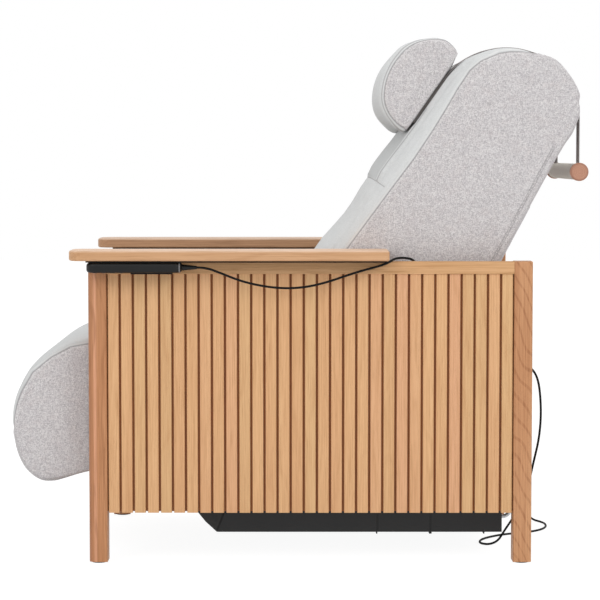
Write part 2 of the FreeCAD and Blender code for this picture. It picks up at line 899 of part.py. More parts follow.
def pan_hangers():
    """Bent straps from the rear crossbar, and bent rods from the rear cross rail, that hold the pan."""
    pieces = []
    inner = pan_half
    outer = inner + s.hanger_thickness
    foot = inner - s.hanger_foot
    high = s.seat_rail_low
    ankle = high - s.hanger_thickness
    outline = [(outer, s.hanger_low), (outer, high), (foot, high), (foot, ankle), (inner, ankle),
               (inner, s.hanger_low)]
    for side in (-1, 1):
        corners = [FreeCAD.Vector(s.hanger_x.value, y.value * side, as_size(z).value) for y, z in outline]
        face = Part.Face(Part.makePolygon(corners + corners[:1]))
        pieces.append(face.extrude(FreeCAD.Vector(s.hanger_width.value, 0, 0)))
        pieces.append(pan_stay(s.stay_y.value * side))
    shape_node("pan_hangers", Part.Compound(pieces))


def pan_stay(y):
    """A rod from the pan's end wall, bent up to the rear cross rail."""
    cross_middle = rear_leg_front + s.cross_inset + s.cross_rail_depth / 2
    bend = (cross_middle - s.stay_bend_radius, s.stay_z + s.stay_bend_radius)
    inside = s.pan_rear - s.pan_wall - s.stay_radius

    def place(x, z):
        return FreeCAD.Vector(x.value, y, z.value)

    start = place(inside, s.stay_z)
    bend_start = place(bend[0], s.stay_z)
    bend_end = place(cross_middle, bend[1])
    path = Part.Wire([Part.LineSegment(start, bend_start).toShape(),
                      Part.Arc(bend_start, place(*polar(bend, s.stay_bend_radius, -45)), bend_end).toShape(),
                      Part.LineSegment(bend_end, place(cross_middle, s.rear_cross_low)).toShape()])
    section = Part.Wire(Part.Circle(start, FreeCAD.Vector(1, 0, 0), s.stay_radius.value).toShape())
    return path.makePipeShell([section], True, False)


def control_box():
    body = body_named("control_box")
    low_z = s.pan_low + s.pan_wall
    outline = rectangle(s.control_front, s.control_front + s.control_length,
                        s.control_inner, pan_half - s.control_side_gap)
    extrude(body, "XY_Plane", [outline], low_z, low_z + s.control_height)
    soften(body, s.control_edge, upright)
    soften(body, s.control_edge / 2, level_at(low_z + s.control_height))
    return body


def mains_inlet():
    """A three-pin appliance inlet in the pan's end wall, with a recess for the plug."""
    body = body_named("mains_inlet")
    half_w = s.inlet_width / 2
    half_h = s.inlet_height / 2
    y = inlet_y
    z = s.inlet_z
    shell = rectangle(y - half_w, y + half_w, z - half_h, z + half_h)
    face = s.pan_rear + s.inlet_flange_thickness
    extrude(body, "YZ_Plane", [shell], s.pan_rear - s.inlet_depth, s.pan_rear)
    flange = rectangle(y - half_w - s.inlet_flange_width, y + half_w + s.inlet_flange_width,
                       z - half_h - s.inlet_flange_width / 2, z + half_h + s.inlet_flange_width / 2)
    extrude(body, "YZ_Plane", [flange], s.pan_rear, face)
    wall = s.inlet_wall
    recess = rectangle(y - half_w + wall, y + half_w - wall, z - half_h + wall, z + half_h - wall)
    extrude(body, "YZ_Plane", [recess], s.pan_rear - s.inlet_depth + wall, face, cut=True)
    for step, rise in ((-1, 1), (0, -1), (1, 1)):
        pin_y = y + s.inlet_pin_pitch * step
        pin_z = z + s.inlet_pin * 2 * rise
        pin = rectangle(pin_y - s.inlet_pin, pin_y + s.inlet_pin,
                        pin_z - s.inlet_pin * 2, pin_z + s.inlet_pin * 2)
        extrude(body, "YZ_Plane", [pin], s.pan_rear - s.inlet_depth + wall, s.pan_rear - wall)
    return body


def cord_gland():
    """The clamp in the pan's end wall where the handset's cord comes home."""
    body = body_named("cord_gland")
    centre = (gland_y, s.gland_z)
    inner_face = s.pan_rear - s.pan_wall
    nut = inner_face - s.gland_flange_thickness
    collar = s.pan_rear + s.gland_flange_thickness
    nose = s.pan_rear + s.gland_length
    stages = ((nut, inner_face, s.gland_radius), (inner_face, s.pan_rear, s.gland_neck_radius),
              (s.pan_rear, collar, s.gland_radius), (collar, nose, s.gland_nose_radius))
    for low, high, radius in stages:
        extrude(body, "YZ_Plane", [], low, high, circles=[(centre, radius)])
    return body


# Actuators and slotted levers

BACK_LEAD_SHARE = 1.035
LEGREST_LEAD_SHARE = 1.05


def stroke_half(length, travel, lead_share):
    """How far the pin stands from under the pivot at either end of the travel."""
    return length * travel * (lead_share * math.radians(1) / 2)


back_stroke_half = stroke_half(s.back_lever_length, s.back_travel, BACK_LEAD_SHARE)
legrest_stroke_half = stroke_half(s.legrest_lever_length, s.legrest_travel, LEGREST_LEAD_SHARE)
back_pin = (s.back_pivot_x + back_stroke_half, s.pivot_z - s.back_lever_length)
legrest_pin = (s.legrest_pivot_x + legrest_stroke_half, s.pivot_z - s.legrest_lever_length)
back_rod_length = s.back_nose_length + s.rod_overlap
legrest_rod_length = s.legrest_nose_length + legrest_stroke_half * 2 + s.rod_overlap


def slotted_lever(label, pivot, length, travel, gap, tube_radius, y):
    """A flat lever on a pivot tube. Its slot takes up the arc that the pin doesn't follow."""
    body = body_named(label)
    angle = travel / 2 - 90
    far = length / cosine(travel / 2)
    half = s.lever_half_width
    low_y = y - s.lever_thickness / 2
    high_y = y + s.lever_thickness / 2

    def rounded(near_along, radius):
        """A strip along the lever from a place on it to a round end past the far pin."""
        centre = turned(pivot, far, 0, angle)
        start = turned(pivot, near_along, -radius, angle)
        end = turned(pivot, near_along, radius, angle)
        tip = [turned(pivot, far, -radius, angle), *arc_steps(centre, radius, angle - 90, angle + 90)]
        return start, tip, end

    start, tip, end = rounded(as_size(0), half)
    extrude(body, "XZ_Plane", [[start, *tip, end]], low_y, high_y)
    start, tip, end = rounded(length, s.pin_radius + gap)
    near_round = arc_steps(turned(pivot, length, 0, angle), s.pin_radius + gap, angle + 90, angle + 270)
    extrude(body, "XZ_Plane", [[*tip, end, *near_round]], low_y, high_y, cut=True)
    return body, tube_radius


def hub_on(body, pivot, tube_radius, y):
    """A round collar that closes the lever about its tube."""
    low_y = y - s.lever_thickness / 2
    high_y = y + s.lever_thickness / 2
    extrude(body, "XZ_Plane", [], low_y, high_y, circles=[(pivot, s.lever_hub_radius)])
    extrude(body, "XZ_Plane", [], low_y, high_y, circles=[(pivot, tube_radius)], cut=True)


def notch_on(body, pivot, tube_radius, y):
    """A round notch that seats the lever under its tube."""
    low_y = y - s.lever_thickness / 2
    high_y = y + s.lever_thickness / 2
    extrude(body, "XZ_Plane", [], low_y, high_y, circles=[(pivot, tube_radius)], cut=True)
    reach = tube_radius * 2
    above = rectangle(pivot[0] - reach, pivot[0] + reach, pivot[1] - s.cut_overrun, pivot[1] + reach)
    extrude(body, "XZ_Plane", [above], low_y, high_y, cut=True)


def backrest_lever():
    y = s.actuator_y
    body, tube = slotted_lever("backrest_lever", back_pivot, s.back_lever_length, s.back_travel,
                               s.back_slot_gap, s.back_tube_radius, y)
    hub_on(body, back_pivot, tube, y)


def legrest_lever():
    y = -s.actuator_y
    body, tube = slotted_lever("legrest_lever", legrest_pivot, s.legrest_lever_length, s.legrest_travel,
                               s.legrest_slot_gap, s.legrest_tube_radius, y)
    notch_on(body, legrest_pivot, tube, y)


def ordered(first, second):
    return (first, second) if first.value < second.value else (second, first)


def actuator_rod(label, pin, y, towards, length):
    """A round rod that ends in a fork for the lever's pin."""
    body = body_named(label)
    fork_inner = s.lever_thickness / 2 + s.fork_gap
    fork_outer = fork_inner + s.fork_cheek
    heel = pin[0] - s.fork_rear * towards
    tip = pin[0] + s.fork_front * towards
    half = s.fork_height / 2
    low, high = ordered(heel, heel - length * towards)
    extrude(body, "YZ_Plane", [], low, high, circles=[((y, pin[1]), s.rod_radius)])
    low, high = ordered(heel, tip)
    block = rectangle(low, high, pin[1] - half, pin[1] + half)
    extrude(body, "XZ_Plane", [block], y - fork_outer, y + fork_outer)
    low, high = ordered(heel + s.fork_web * towards, tip)
    throat = rectangle(low, high, pin[1] - half, pin[1] + half)
    extrude(body, "XZ_Plane", [throat], y - fork_inner, y + fork_inner, cut=True)
    extrude(body, "XZ_Plane", [], y - fork_outer, y + fork_outer, circles=[(pin, s.pin_radius)], cut=True)


def actuator_pin(label, pin, y):
    body = body_named(label)
    reach = s.lever_thickness / 2 + s.fork_gap + s.fork_cheek + s.pin_head_gap
    extrude(body, "XZ_Plane", [], y - reach, y + reach, circles=[(pin, s.pin_radius)])


def housing_places(pin, towards, nose, sleeve):
    """Mouth of the sleeve, face of the gearbox and centre of the lug, along the rod's axis."""
    mouth = pin[0] - (s.fork_rear + nose) * towards
    face = mouth - sleeve * towards
    lug_x = face - (s.gearbox_length + s.lug_radius) * towards
    return mouth, face, (lug_x, pin[1])


def actuator_housing(label, pin, y, towards, nose, sleeve, depth):
    """Gearbox, motor and sleeve in one casing, with a lug at the back."""
    body = body_named(label)
    outward = 1 if y.value > 0 else -1
    z = pin[1]
    mouth, face, lug = housing_places(pin, towards, nose, sleeve)
    half = s.gearbox_height / 2
    inner, outer = ordered(y - s.gearbox_inner * outward, y + s.gearbox_outer * outward)
    low, high = ordered(face, face - s.gearbox_length * towards)
    extrude(body, "YZ_Plane", [rectangle(inner, outer, z - half, z + half)], low, high)
    soften(body, s.gearbox_corner, lambda box: box.XLength > s.gearbox_corner.value)
    low, high = ordered(face, mouth)
    extrude(body, "YZ_Plane", [], low, high, circles=[((y, z), s.sleeve_radius)])
    low, high = ordered(face, face + s.motor_length * towards)
    motor_place = (y + s.motor_offset * outward, z)
    extrude(body, "YZ_Plane", [], low, high, circles=[(motor_place, s.motor_radius)])
    low, high = ordered(mouth, mouth - depth * towards)
    extrude(body, "YZ_Plane", [], low, high, circles=[((y, z), s.rod_radius + s.running_gap)], cut=True)
    start = 90 if towards > 0 else 270
    round_end = arc_steps(lug, s.lug_radius, start, start + 180)
    root_x = lug[0] + s.lug_radius * towards
    side = s.lug_radius if towards > 0 else -s.lug_radius
    outline = [(root_x, z + side), (lug[0], z + side), *round_end, (root_x, z - side)]
    extrude(body, "XZ_Plane", [outline], y - s.lug_half, y + s.lug_half)
    extrude(body, "XZ_Plane", [], y - s.lug_half, y + s.lug_half, circles=[(lug, s.mount_pin_radius)],
            cut=True)


def actuator_brackets(places):
    """Steel cheeks welded under the crossbars, a pair for each actuator's lug."""
    body = body_named("actuator_brackets")
    inner = s.lug_half + s.bracket_gap
    for (x, z), y in places:
        half = s.lug_radius
        cheek = [(x - half, z), *arc_steps((x, z), half, 180, 360), (x + half, s.seat_rail_low),
                 (x - half, s.seat_rail_low)]
        for outward in (-1, 1):
            low, high = ordered(y + inner * outward, y + (inner + s.bracket_cheek) * outward)
            extrude(body, "XZ_Plane", [cheek], low, high, circles=[((x, z), s.mount_pin_radius)])


def actuator_mount_pins(places):
    body = body_named("actuator_mount_pins")
    reach = s.lug_half + s.bracket_gap + s.bracket_cheek + s.pin_head_gap
    for place, y in places:
        extrude(body, "XZ_Plane", [], y - reach, y + reach, circles=[(place, s.mount_pin_radius)])


def actuators():
    """The two drives: each pushes its lever's pin along a level line."""
    back = (back_pin, s.actuator_y, 1)
    legrest = (legrest_pin, -s.actuator_y, -1)
    actuator_rod("back_actuator_rod", *back, back_rod_length)
    actuator_rod("legrest_actuator_rod", *legrest, legrest_rod_length)
    actuator_pin("back_actuator_pin", back_pin, s.actuator_y)
    actuator_pin("legrest_actuator_pin", legrest_pin, -s.actuator_y)
    back_depth = s.rod_overlap + back_stroke_half * 2 + s.cut_overrun
    legrest_depth = legrest_stroke_half * 2 + s.rod_overlap + s.cut_overrun
    back_reach = (s.back_nose_length, s.back_sleeve)
    legrest_reach = (s.legrest_nose_length, s.legrest_sleeve)
    actuator_housing("back_actuator_housing", *back, *back_reach, back_depth)
    actuator_housing("legrest_actuator_housing", *legrest, *legrest_reach, legrest_depth)
    back_lug = housing_places(back_pin, 1, *back_reach)[2]
    legrest_lug = housing_places(legrest_pin, -1, *legrest_reach)[2]
    places = ((back_lug, s.actuator_y), (legrest_lug, -s.actuator_y))
    actuator_brackets(places)
    actuator_mount_pins(places)


# Backrest

top_off = s.back_front_offset - s.back_top_radius
top_centre = turned(back_pivot, s.back_top_along, top_off, s.back_front_angle)
rear_out = s.back_rear_angle - 90
shoulder_centre = polar(top_centre, s.back_top_radius - s.back_shoulder_radius, s.back_shoulder_angle)
strap_leave_z = shoulder_centre[1]
back_board_half = padding_half - s.back_board_inset


def back_outline(front_crown, rear_crown, lean):
    """Side outline of the back: a roll at the pivot, a flat front, a round top and a flat rear."""
    front = s.back_front_angle
    roll = s.back_front_offset - front_crown
    top = s.back_top_radius - rear_crown
    shoulder = s.back_shoulder_radius - rear_crown
    rear_end = polar(shoulder_centre, shoulder, rear_out)
    drop = (rear_end[1] - s.back_foot_height) / sine(s.back_rear_angle)
    foot = (rear_end[0] - drop * cosine(s.back_rear_angle), s.back_foot_height)
    heel = turned(foot, -s.back_heel_along, s.back_heel_across, s.back_rear_angle)
    roll_steps = arc_steps(back_pivot, roll, front + 90, s.back_roll_end)
    shoulder_steps = arc_steps(shoulder_centre, shoulder, rear_out, s.back_shoulder_angle)
    top_steps = arc_steps(top_centre, top, s.back_shoulder_angle, front + 90 - lean)
    front_start = polar(back_pivot, roll, front + 90)
    return [*roll_steps, heel, foot, rear_end, *shoulder_steps, *top_steps, front_start]


def backrest_cushion():
    """The upholstered back, with room inside for its frame, its board and its lever."""
    body = body_named("backrest_cushion")
    zero = as_size(0)
    side = (s.back_front_crown, s.back_rear_crown, s.back_crown_lean)
    crown_half = padding_half - s.back_crown_width
    sketches = []
    for y, crowns in ((-padding_half, side), (-crown_half, (zero, zero, zero)),
                      (crown_half, (zero, zero, zero)), (padding_half, side)):
        sketch = sketch_on(body, "XZ_Plane", -y)
        draw(sketch, back_outline(*crowns))
        sketches.append(sketch)
    loft(body, "PartDesign::AdditiveLoft", sketches)
    gap = s.foam_gap
    bar = s.back_bar_half
    rear = -(bar + s.back_board_thickness + gap)
    room = slanted_box(0, s.back_bar_length + gap, rear, bar + gap)
    half = back_board_half + gap
    extrude(body, "XZ_Plane", [room], -half, half, cut=True)
    reach = padding_half + s.cut_overrun
    bore = s.back_tube_radius + gap
    extrude(body, "XZ_Plane", [], -reach, reach, circles=[(back_pivot, bore)], cut=True)
    lever_half = s.lever_thickness / 2 + gap
    angle = s.back_travel / 2 - 90
    wide = s.lever_hub_radius + gap
    end = s.back_front_offset + s.foam_gap
    slit = [turned(back_pivot, 0, -wide, angle), turned(back_pivot, end, -wide, angle),
            turned(back_pivot, end, wide, angle), turned(back_pivot, 0, wide, angle)]
    slit = slit[1:] + arc_steps(back_pivot, wide, angle + 90, angle + 270)
    extrude(body, "XZ_Plane", [slit], s.actuator_y - lever_half, s.actuator_y + lever_half, cut=True)


def slanted_box(start, end, low, high):
    """A box along the steel bars of the back, from the pivot up and across them."""
    angle = s.back_bar_angle
    return [turned(back_pivot, end, low, angle), turned(back_pivot, end, high, angle),
            turned(back_pivot, start, high, angle), turned(back_pivot, start, low, angle)]


def pivot_tube(body, pivot, radius, wall, half):
    """A steel tube across the chair with a stub shaft at each end."""
    extrude(body, "XZ_Plane", [], -half, half, circles=[(pivot, radius), (pivot, radius - wall)])
    reach = seat_rail_inner - s.stub_end_gap
    plug = s.stub_plug
    for low, high in ((-half, plug - half), (half - plug, half)):
        extrude(body, "XZ_Plane", [], low, high, circles=[(pivot, radius - wall)])
    for low, high in ((-reach, -half), (half, reach)):
        extrude(body, "XZ_Plane", [], low, high, circles=[(pivot, s.stub_radius)])


def backrest_frame():
    """Welded steel: the pivot tube, two upright bars and two crossbars."""
    body = body_named("backrest_frame")
    pivot_tube(body, back_pivot, s.back_tube_radius, s.back_tube_wall, tube_half)
    bar = s.back_bar_half
    end = s.back_bar_length
    inner = padding_half - s.back_bar_inset
    outer = inner + bar * 2
    upright_bar = slanted_box(s.back_tube_radius - s.back_tube_wall / 2, end, -bar, bar)
    for low, high in ((-outer, -inner), (inner, outer)):
        extrude(body, "XZ_Plane", [upright_bar], low, high)
    for place in (s.back_crossbar_along, end - bar * 2):
        crossbar = slanted_box(place, place + bar * 2, -bar, bar)
        extrude(body, "XZ_Plane", [crossbar], -inner, inner)


def backrest_board():
    """Plywood screwed to the rear of the steel frame."""
    body = body_named("backrest_board")
    rear = -(s.back_bar_half + s.back_board_thickness)
    outline = slanted_box(s.back_board_start, s.back_bar_length, rear, -s.back_bar_half)
    extrude(body, "XZ_Plane", [outline], -back_board_half, back_board_half)


# Calf rest. Shares are of the depth from the pivot to the front.

LEGREST_BROW_SHARES = (-0.555, 0.082)
LEGREST_KNEE_SHARES = (-0.901, -0.33)
LEGREST_SHIN_SHARES = (-1, -0.77)
LEGREST_CALF_SHARES = (-0.863, -1.209)
LEGREST_TOE_SHARES = (-0.709, -1.341)
LEGREST_HEEL_SHARES = (-0.522, -1.374)
LEGREST_SOLE_SHARE = -1.231


def legrest_outline(depth):
    """Side outline of the calf rest: a roll over the tube, a domed front and a flat rear."""
    x, z = legrest_pivot
    roll = s.legrest_roll * depth / s.legrest_front
    saddle = s.legrest_rear
    top_shares = (0, (s.legrest_roll / s.legrest_front).value)

    def place(shares):
        return (x + depth * shares[0], z + depth * shares[1])

    def bow(start, middle, end):
        return (place(middle), place(end), depth * arc_radius(start, middle, end))

    return [*arc_steps(legrest_pivot, saddle, 180, 0), (x + roll, z),
            *arc_steps(legrest_pivot, roll, 0, 90),
            bow(top_shares, LEGREST_BROW_SHARES, LEGREST_KNEE_SHARES),
            bow(LEGREST_KNEE_SHARES, LEGREST_SHIN_SHARES, LEGREST_CALF_SHARES),
            bow(LEGREST_CALF_SHARES, LEGREST_TOE_SHARES, LEGREST_HEEL_SHARES),
            (x - saddle, z + s.legrest_front * LEGREST_SOLE_SHARE), (x - saddle, z)]


def legrest_cushion():
    """The padded calf rest. Its front falls away a little towards each side."""
    body = body_named("legrest_cushion")
    sketches = []
    side = s.legrest_front - s.legrest_crown
    crown_half = padding_half - s.legrest_crown_width
    for y, depth in ((-padding_half, side), (-crown_half, s.legrest_front),
                     (crown_half, s.legrest_front), (padding_half, side)):
        sketch = sketch_on(body, "XZ_Plane", -y)
        draw(sketch, legrest_outline(depth))
        sketches.append(sketch)
    loft(body, "PartDesign::AdditiveLoft", sketches)


def legrest_frame():
    """Welded steel: the pivot tube and two flat arms down the back of the calf rest."""
    body = body_named("legrest_frame")
    pivot_tube(body, legrest_pivot, s.legrest_tube_radius, s.legrest_tube_wall, tube_half)
    x, z = legrest_pivot
    half = s.legrest_arm_thickness / 2
    top = z - s.legrest_tube_radius + s.legrest_tube_wall / 2
    outline = rectangle(x - half, x + half, z - s.legrest_board_foot, top)
    inner = padding_half - s.legrest_arm_inset
    outer = inner + s.legrest_arm_width
    for low, high in ((-outer, -inner), (inner, outer)):
        extrude(body, "XZ_Plane", [outline], low, high)


def legrest_board():
    x, z = legrest_pivot
    low_x = x - s.legrest_rear
    high_x = x - s.legrest_arm_thickness / 2
    half = padding_half - s.legrest_board_inset
    foot = z - s.legrest_board_foot
    box_node("legrest_board", (low_x, -half, foot), (high_x, half, z - s.legrest_board_head))


# Head pillow, straps and roller. Shares are of the pillow's thickness, along the back and off it.

PILLOW_CHIN_SHARES = ((-0.044, 0.34), (0.214, 0.786))
PILLOW_FACE_SHARES = ((0.62, 0.975), (1.087, 1))
PILLOW_BROW_SHARES = ((1.553, 0.835), (1.845, 0.437))
PILLOW_CROWN_SHARES = ((1.865, 0.21), (1.786, 0))


def pillow_outline(deep):
    """A D with its flat side on the back. A thinner one stays centred along the back."""
    foot = s.pillow_along + (s.pillow_thickness - deep) * (PILLOW_CROWN_SHARES[1][0] / 2)
    off = s.back_front_offset + s.pillow_gap

    def place(shares):
        return turned(back_pivot, foot + deep * shares[0], off + deep * shares[1], s.back_front_angle)

    path = []
    start = (0, 0)
    for middle, end in (PILLOW_CHIN_SHARES, PILLOW_FACE_SHARES, PILLOW_BROW_SHARES, PILLOW_CROWN_SHARES):
        path.append((place(middle), place(end), deep * arc_radius(start, middle, end)))
        start = end
    return [*path, place((0, 0))]


def headrest_pillow():
    """A D-shaped pillow that slides down the face of the back."""
    body = body_named("headrest_pillow")
    sketches = []
    thin = s.pillow_thickness - s.pillow_edge
    full_half = pillow_half - s.pillow_edge
    for y, deep in ((-pillow_half, thin), (-full_half, s.pillow_thickness),
                    (full_half, s.pillow_thickness), (pillow_half, thin)):
        sketch = sketch_on(body, "XZ_Plane", -y)
        draw(sketch, pillow_outline(deep))
        sketches.append(sketch)
    loft(body, "PartDesign::AdditiveLoft", sketches)


def headrest_straps():
    """Two webbing straps from behind the pillow over the top of the back."""
    body = body_named("headrest_straps")
    low = s.strap_seat
    high = s.strap_seat + s.strap_thickness
    front = s.back_front_angle
    along = s.pillow_along + s.pillow_thickness / 2
    path = [polar(shoulder_centre, s.back_shoulder_radius + low, 0),
            polar(shoulder_centre, s.back_shoulder_radius + high, 0),
            *arc_steps(shoulder_centre, s.back_shoulder_radius + high, 0, s.back_shoulder_angle),
            *arc_steps(top_centre, s.back_top_radius + high, s.back_shoulder_angle, front + 90),
            turned(back_pivot, along, s.back_front_offset + high, front),
            turned(back_pivot, along, s.back_front_offset + low, front),
            polar(top_centre, s.back_top_radius + low, front + 90),
            *arc_steps(top_centre, s.back_top_radius + low, front + 90, s.back_shoulder_angle),
            *arc_steps(shoulder_centre, s.back_shoulder_radius + low, s.back_shoulder_angle, 0)]
    extrude(body, "XZ_Plane", [path[1:]], strap_inner, strap_outer)
    mirror_across(body)


hang_x = shoulder_centre[0] + s.back_shoulder_radius + s.strap_seat + s.strap_thickness / 2
roller_half = strap_outer + s.roller_overhang


def hanging_straps():
    """The free ends of the straps, from where they leave the back down to the roller."""
    body = body_named("hanging_straps")
    half = s.strap_thickness / 2
    low_z = s.roller_z + s.roller_core_radius + s.roller_sleeve + s.strap_seat
    outline = rectangle(hang_x - half, hang_x + half, low_z, strap_leave_z)
    extrude(body, "XZ_Plane", [outline], strap_inner, strap_outer)
    mirror_across(body)


def counterweight_roller():
    """A turned wooden roller with a wider disc at each end."""
    body = body_named("counterweight_roller")
    centre = (hang_x, s.roller_z)
    neck = roller_half - s.roller_cap
    extrude(body, "XZ_Plane", [], -neck, neck, circles=[(centre, s.roller_core_radius)])
    for low, high in ((-roller_half, -neck), (neck, roller_half)):
        extrude(body, "XZ_Plane", [], low, high, circles=[(centre, s.roller_radius)])
    soften(body, s.roller_edge, lambda box: near(box.ZMax, s.roller_z + s.roller_radius)
           and (near(box.YMin, -roller_half) or near(box.YMax, roller_half)) and near(box.YLength, 0))


def roller_sleeve():
    body = body_named("roller_sleeve")
    centre = (hang_x, s.roller_z)
    reach = roller_half - s.roller_cap - s.strap_seat
    core = s.roller_core_radius
    extrude(body, "XZ_Plane", [], -reach, reach, circles=[(centre, core + s.roller_sleeve), (centre, core)])


# Handset

handset_top = s.leg_top - s.handset_top_gap
handset_low = handset_top - s.handset_height
handset_inner = -(panel_half + s.handset_side_gap)
handset_outer = handset_inner - s.handset_width
handset_middle_y = (handset_inner + handset_outer) / 2
handset_middle_z = handset_top - s.handset_height / 2
handset_rear = s.handset_front + s.handset_length
KEY_NAMES = ("key_legs_up", "key_legs_down", "key_back_up", "key_back_down")


def key_place(number):
    return (s.handset_front + s.key_inset + s.key_pitch * number, handset_middle_y)


def handset_case():
    """A slim case with round corners and four pockets for its keys in the underside."""
    body = body_named("handset_case")
    outline = rectangle(s.handset_front, handset_rear, handset_outer, handset_inner)
    extrude(body, "XY_Plane", [outline], handset_low, handset_top)
    soften(body, s.handset_end, upright)
    soften(body, s.handset_edge, lambda box: level_at(handset_low)(box) or level_at(handset_top)(box))
    pockets = [(key_place(number), s.key_radius + s.key_gap) for number in range(len(KEY_NAMES))]
    depth = s.key_height - s.key_proud + s.key_travel + s.key_gap
    extrude(body, "XY_Plane", [], handset_low, handset_low + depth, circles=pockets, cut=True)


def handset_keys():
    low = handset_low - s.key_proud
    for number, name in enumerate(KEY_NAMES):
        body = body_named(name)
        extrude(body, "XY_Plane", [], low, low + s.key_height, circles=[(key_place(number), s.key_radius)])
        soften(body, s.key_edge, level_at(low))


def handset_relief():
    """A tapered sleeve where the cord leaves the handset."""
    cone = doc.addObject("Part::Cone", "handset_relief")
    cone.Label = "handset_relief"
    bind(cone, "Radius1", s.relief_radius)
    bind(cone, "Radius2", s.relief_tip)
    bind(cone, "Height", s.relief_length)
    cone.Placement.Rotation = FreeCAD.Rotation(FreeCAD.Vector(0, 0, 1), FreeCAD.Vector(1, 0, 0))
    bind(cone, "Placement.Base.x", handset_rear)
    bind(cone, "Placement.Base.y", handset_middle_y)
    bind(cone, "Placement.Base.z", handset_middle_z)
    NODES.append(cone)


def handset_holder():
    """A bent steel shelf on the top rail that the handset rests on."""
    body = body_named("handset_holder")
    back_face = -(panel_half - s.rail_recess)
    back_inner = back_face - s.holder_thickness
    top = handset_low - s.holder_gap
    low = top - s.holder_thickness
    lip = back_face - s.holder_reach
    outline = [(back_face, low), (back_face, handset_top), (back_inner, handset_top), (back_inner, top),
               (lip, top), (lip, low)]
    rear = s.holder_front + s.holder_length
    extrude(body, "YZ_Plane", [outline], s.holder_front, rear)


# The handset's cord, from its relief over the top rail, down to the floor and back up to the gland

CORD_ROUTE = [
    (-198, -335, 577.9), (-180, -335, 577.9), (-152, -334, 567), (-112, -333, 551), (-68, -331, 541),
    (-26, -329, 537), (14, -327, 540), (52, -325, 549), (90, -323, 562), (122, -321, 572),
    (150, -319, 578), (177, -315, 585), (193, -305, 594.5), (207, -289, 598), (223, -275, 590),
    (236, -272.5, 562), (257, -271, 524), (292, -270, 478), (335, -269, 436), (382, -265, 405),
    (418, -261.5, 390), (443, -260.5, 383), (458, -260.5, 372), (467, -261, 351), (471, -262, 317),
    (472, -262.5, 278), (468, -262, 235), (459, -256, 193), (453, -238, 154), (448, -200, 112),
    (442, -155, 78), (434, -118, 54), (426, -102, 38), (415, -97, 20), (404, -101, 4),
    (385, -112, 2.4), (368, -98, 2.4), (368, -72, 2.4), (378, -42, 2.4), (403, -10, 2.4),
    (431, 14, 2.4), (462, 28, 2.4), (492, 48, 2.4), (514, 76, 2.4), (525, 108, 2.4),
    (527, 146, 2.4), (519, 172, 2.4), (503, 190, 8), (484, 190, 26), (468, 176, 50),
    (455, 160, 70), (440, 150, 80), (422, 150, 80),
]
CORD_BEND_SHARE = 0.45


def cord_bends(points):
    """For each inner corner: where its arc starts, its middle, its end and its radius."""
    bends = []
    for before, corner, after in zip(points, points[1:], points[2:]):
        back = before - corner
        ahead = after - corner
        turn = math.pi - back.getAngle(ahead)
        reach = min(back.Length, ahead.Length) * CORD_BEND_SHARE
        radius = reach / math.tan(turn / 2)
        back.normalize()
        ahead.normalize()
        inward = back + ahead
        inward.normalize()
        middle = corner + inward * (radius / math.cos(turn / 2) - radius)
        bends.append((corner + back * reach, middle, corner + ahead * reach, radius))
    return bends


def handset_cord():
    points = [FreeCAD.Vector(*point) for point in CORD_ROUTE]
    relief_end = handset_rear + s.relief_length
    gland_end = s.pan_rear + s.gland_length
    points[0] = FreeCAD.Vector(relief_end.value, handset_middle_y.value, handset_middle_z.value)
    points[-1] = FreeCAD.Vector(gland_end.value, gland_y.value, s.gland_z.value)
    edges = []
    place = points[0]
    for start, middle, end, radius in cord_bends(points):
        edges.append(Part.LineSegment(place, start).toShape())
        edges.append(Part.Arc(start, middle, end).toShape())
        place = end
    edges.append(Part.LineSegment(place, points[-1]).toShape())
    path = Part.Wire(edges)
    section = Part.Wire(Part.Circle(points[0], points[1] - points[0], s.cord_radius.value).toShape())
    tube = path.makePipeShell([section], True, False)
    smallest = min(bend[3] for bend in cord_bends(points))
    share = tube.Volume / (math.pi * s.cord_radius.value ** 2 * path.Length)
    print("cord: smallest radius", round(smallest, 1), "length", round(path.Length))
    print("cord: share of the full volume", round(share, 3))
    shape_node("handset_cord", tube)


def chair():
    """Every sub-part, from the legs up."""
    for name, side in SIDES:
        leg("leg_front_" + name, panel_front, side, s.front_leg_corner, panel_front)
        leg("leg_rear_" + name, rear_leg_front, side, s.rear_leg_corner, s.panel_rear)
        top_rail("top_rail_" + name, side)
        side_board("side_board_" + name, side)
        slats("slats_" + name, side)
        arm("arm_" + name, side)
    foot_glides()
    arm_plates()
    arm_screws()
    cross_rail("front_cross_rail", panel_front + s.cross_inset, s.front_cross_low, s.front_cross_height)
    cross_rail("rear_cross_rail", rear_leg_front + s.cross_inset, s.rear_cross_low, s.rear_cross_height)
    seat_rails()
    seat_crossbars()
    seat_board()
    seat_cushion()
    pivot_plates()
    pivot_bushes()
    pivot_bolts()
    pan_front()
    pan_middle()
    pan_rear()
    pan_hangers()
    control_box()
    mains_inlet()
    cord_gland()
    actuators()
    backrest_frame()
    backrest_board()
    backrest_cushion()
    backrest_lever()
    legrest_frame()
    legrest_board()
    legrest_cushion()
    legrest_lever()
    headrest_pillow()
    headrest_straps()
    hanging_straps()
    counterweight_roller()
    roller_sleeve()
    handset_case()
    handset_keys()
    handset_relief()
    handset_holder()
    handset_cord()


def hand_in():
    """Check every object and sub-part, then write one file for each."""
    doc.recompute()
    faults = [item.Name for item in doc.Objects if "Invalid" in item.State or "Error" in item.State]
    faults += [item.Label for item in NODES if item.Shape.isNull() or not item.Shape.isValid()]
    if faults:
        raise RuntimeError("faulty: " + ", ".join(sorted(set(faults))))
    os.makedirs("parts", exist_ok=True)
    for item in NODES:
        item.Shape.exportStep("parts/" + item.Label + ".step")
        print(item.Label, len(item.Shape.Solids), round(item.Shape.Volume))


chair()
hand_in()
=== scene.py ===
import math

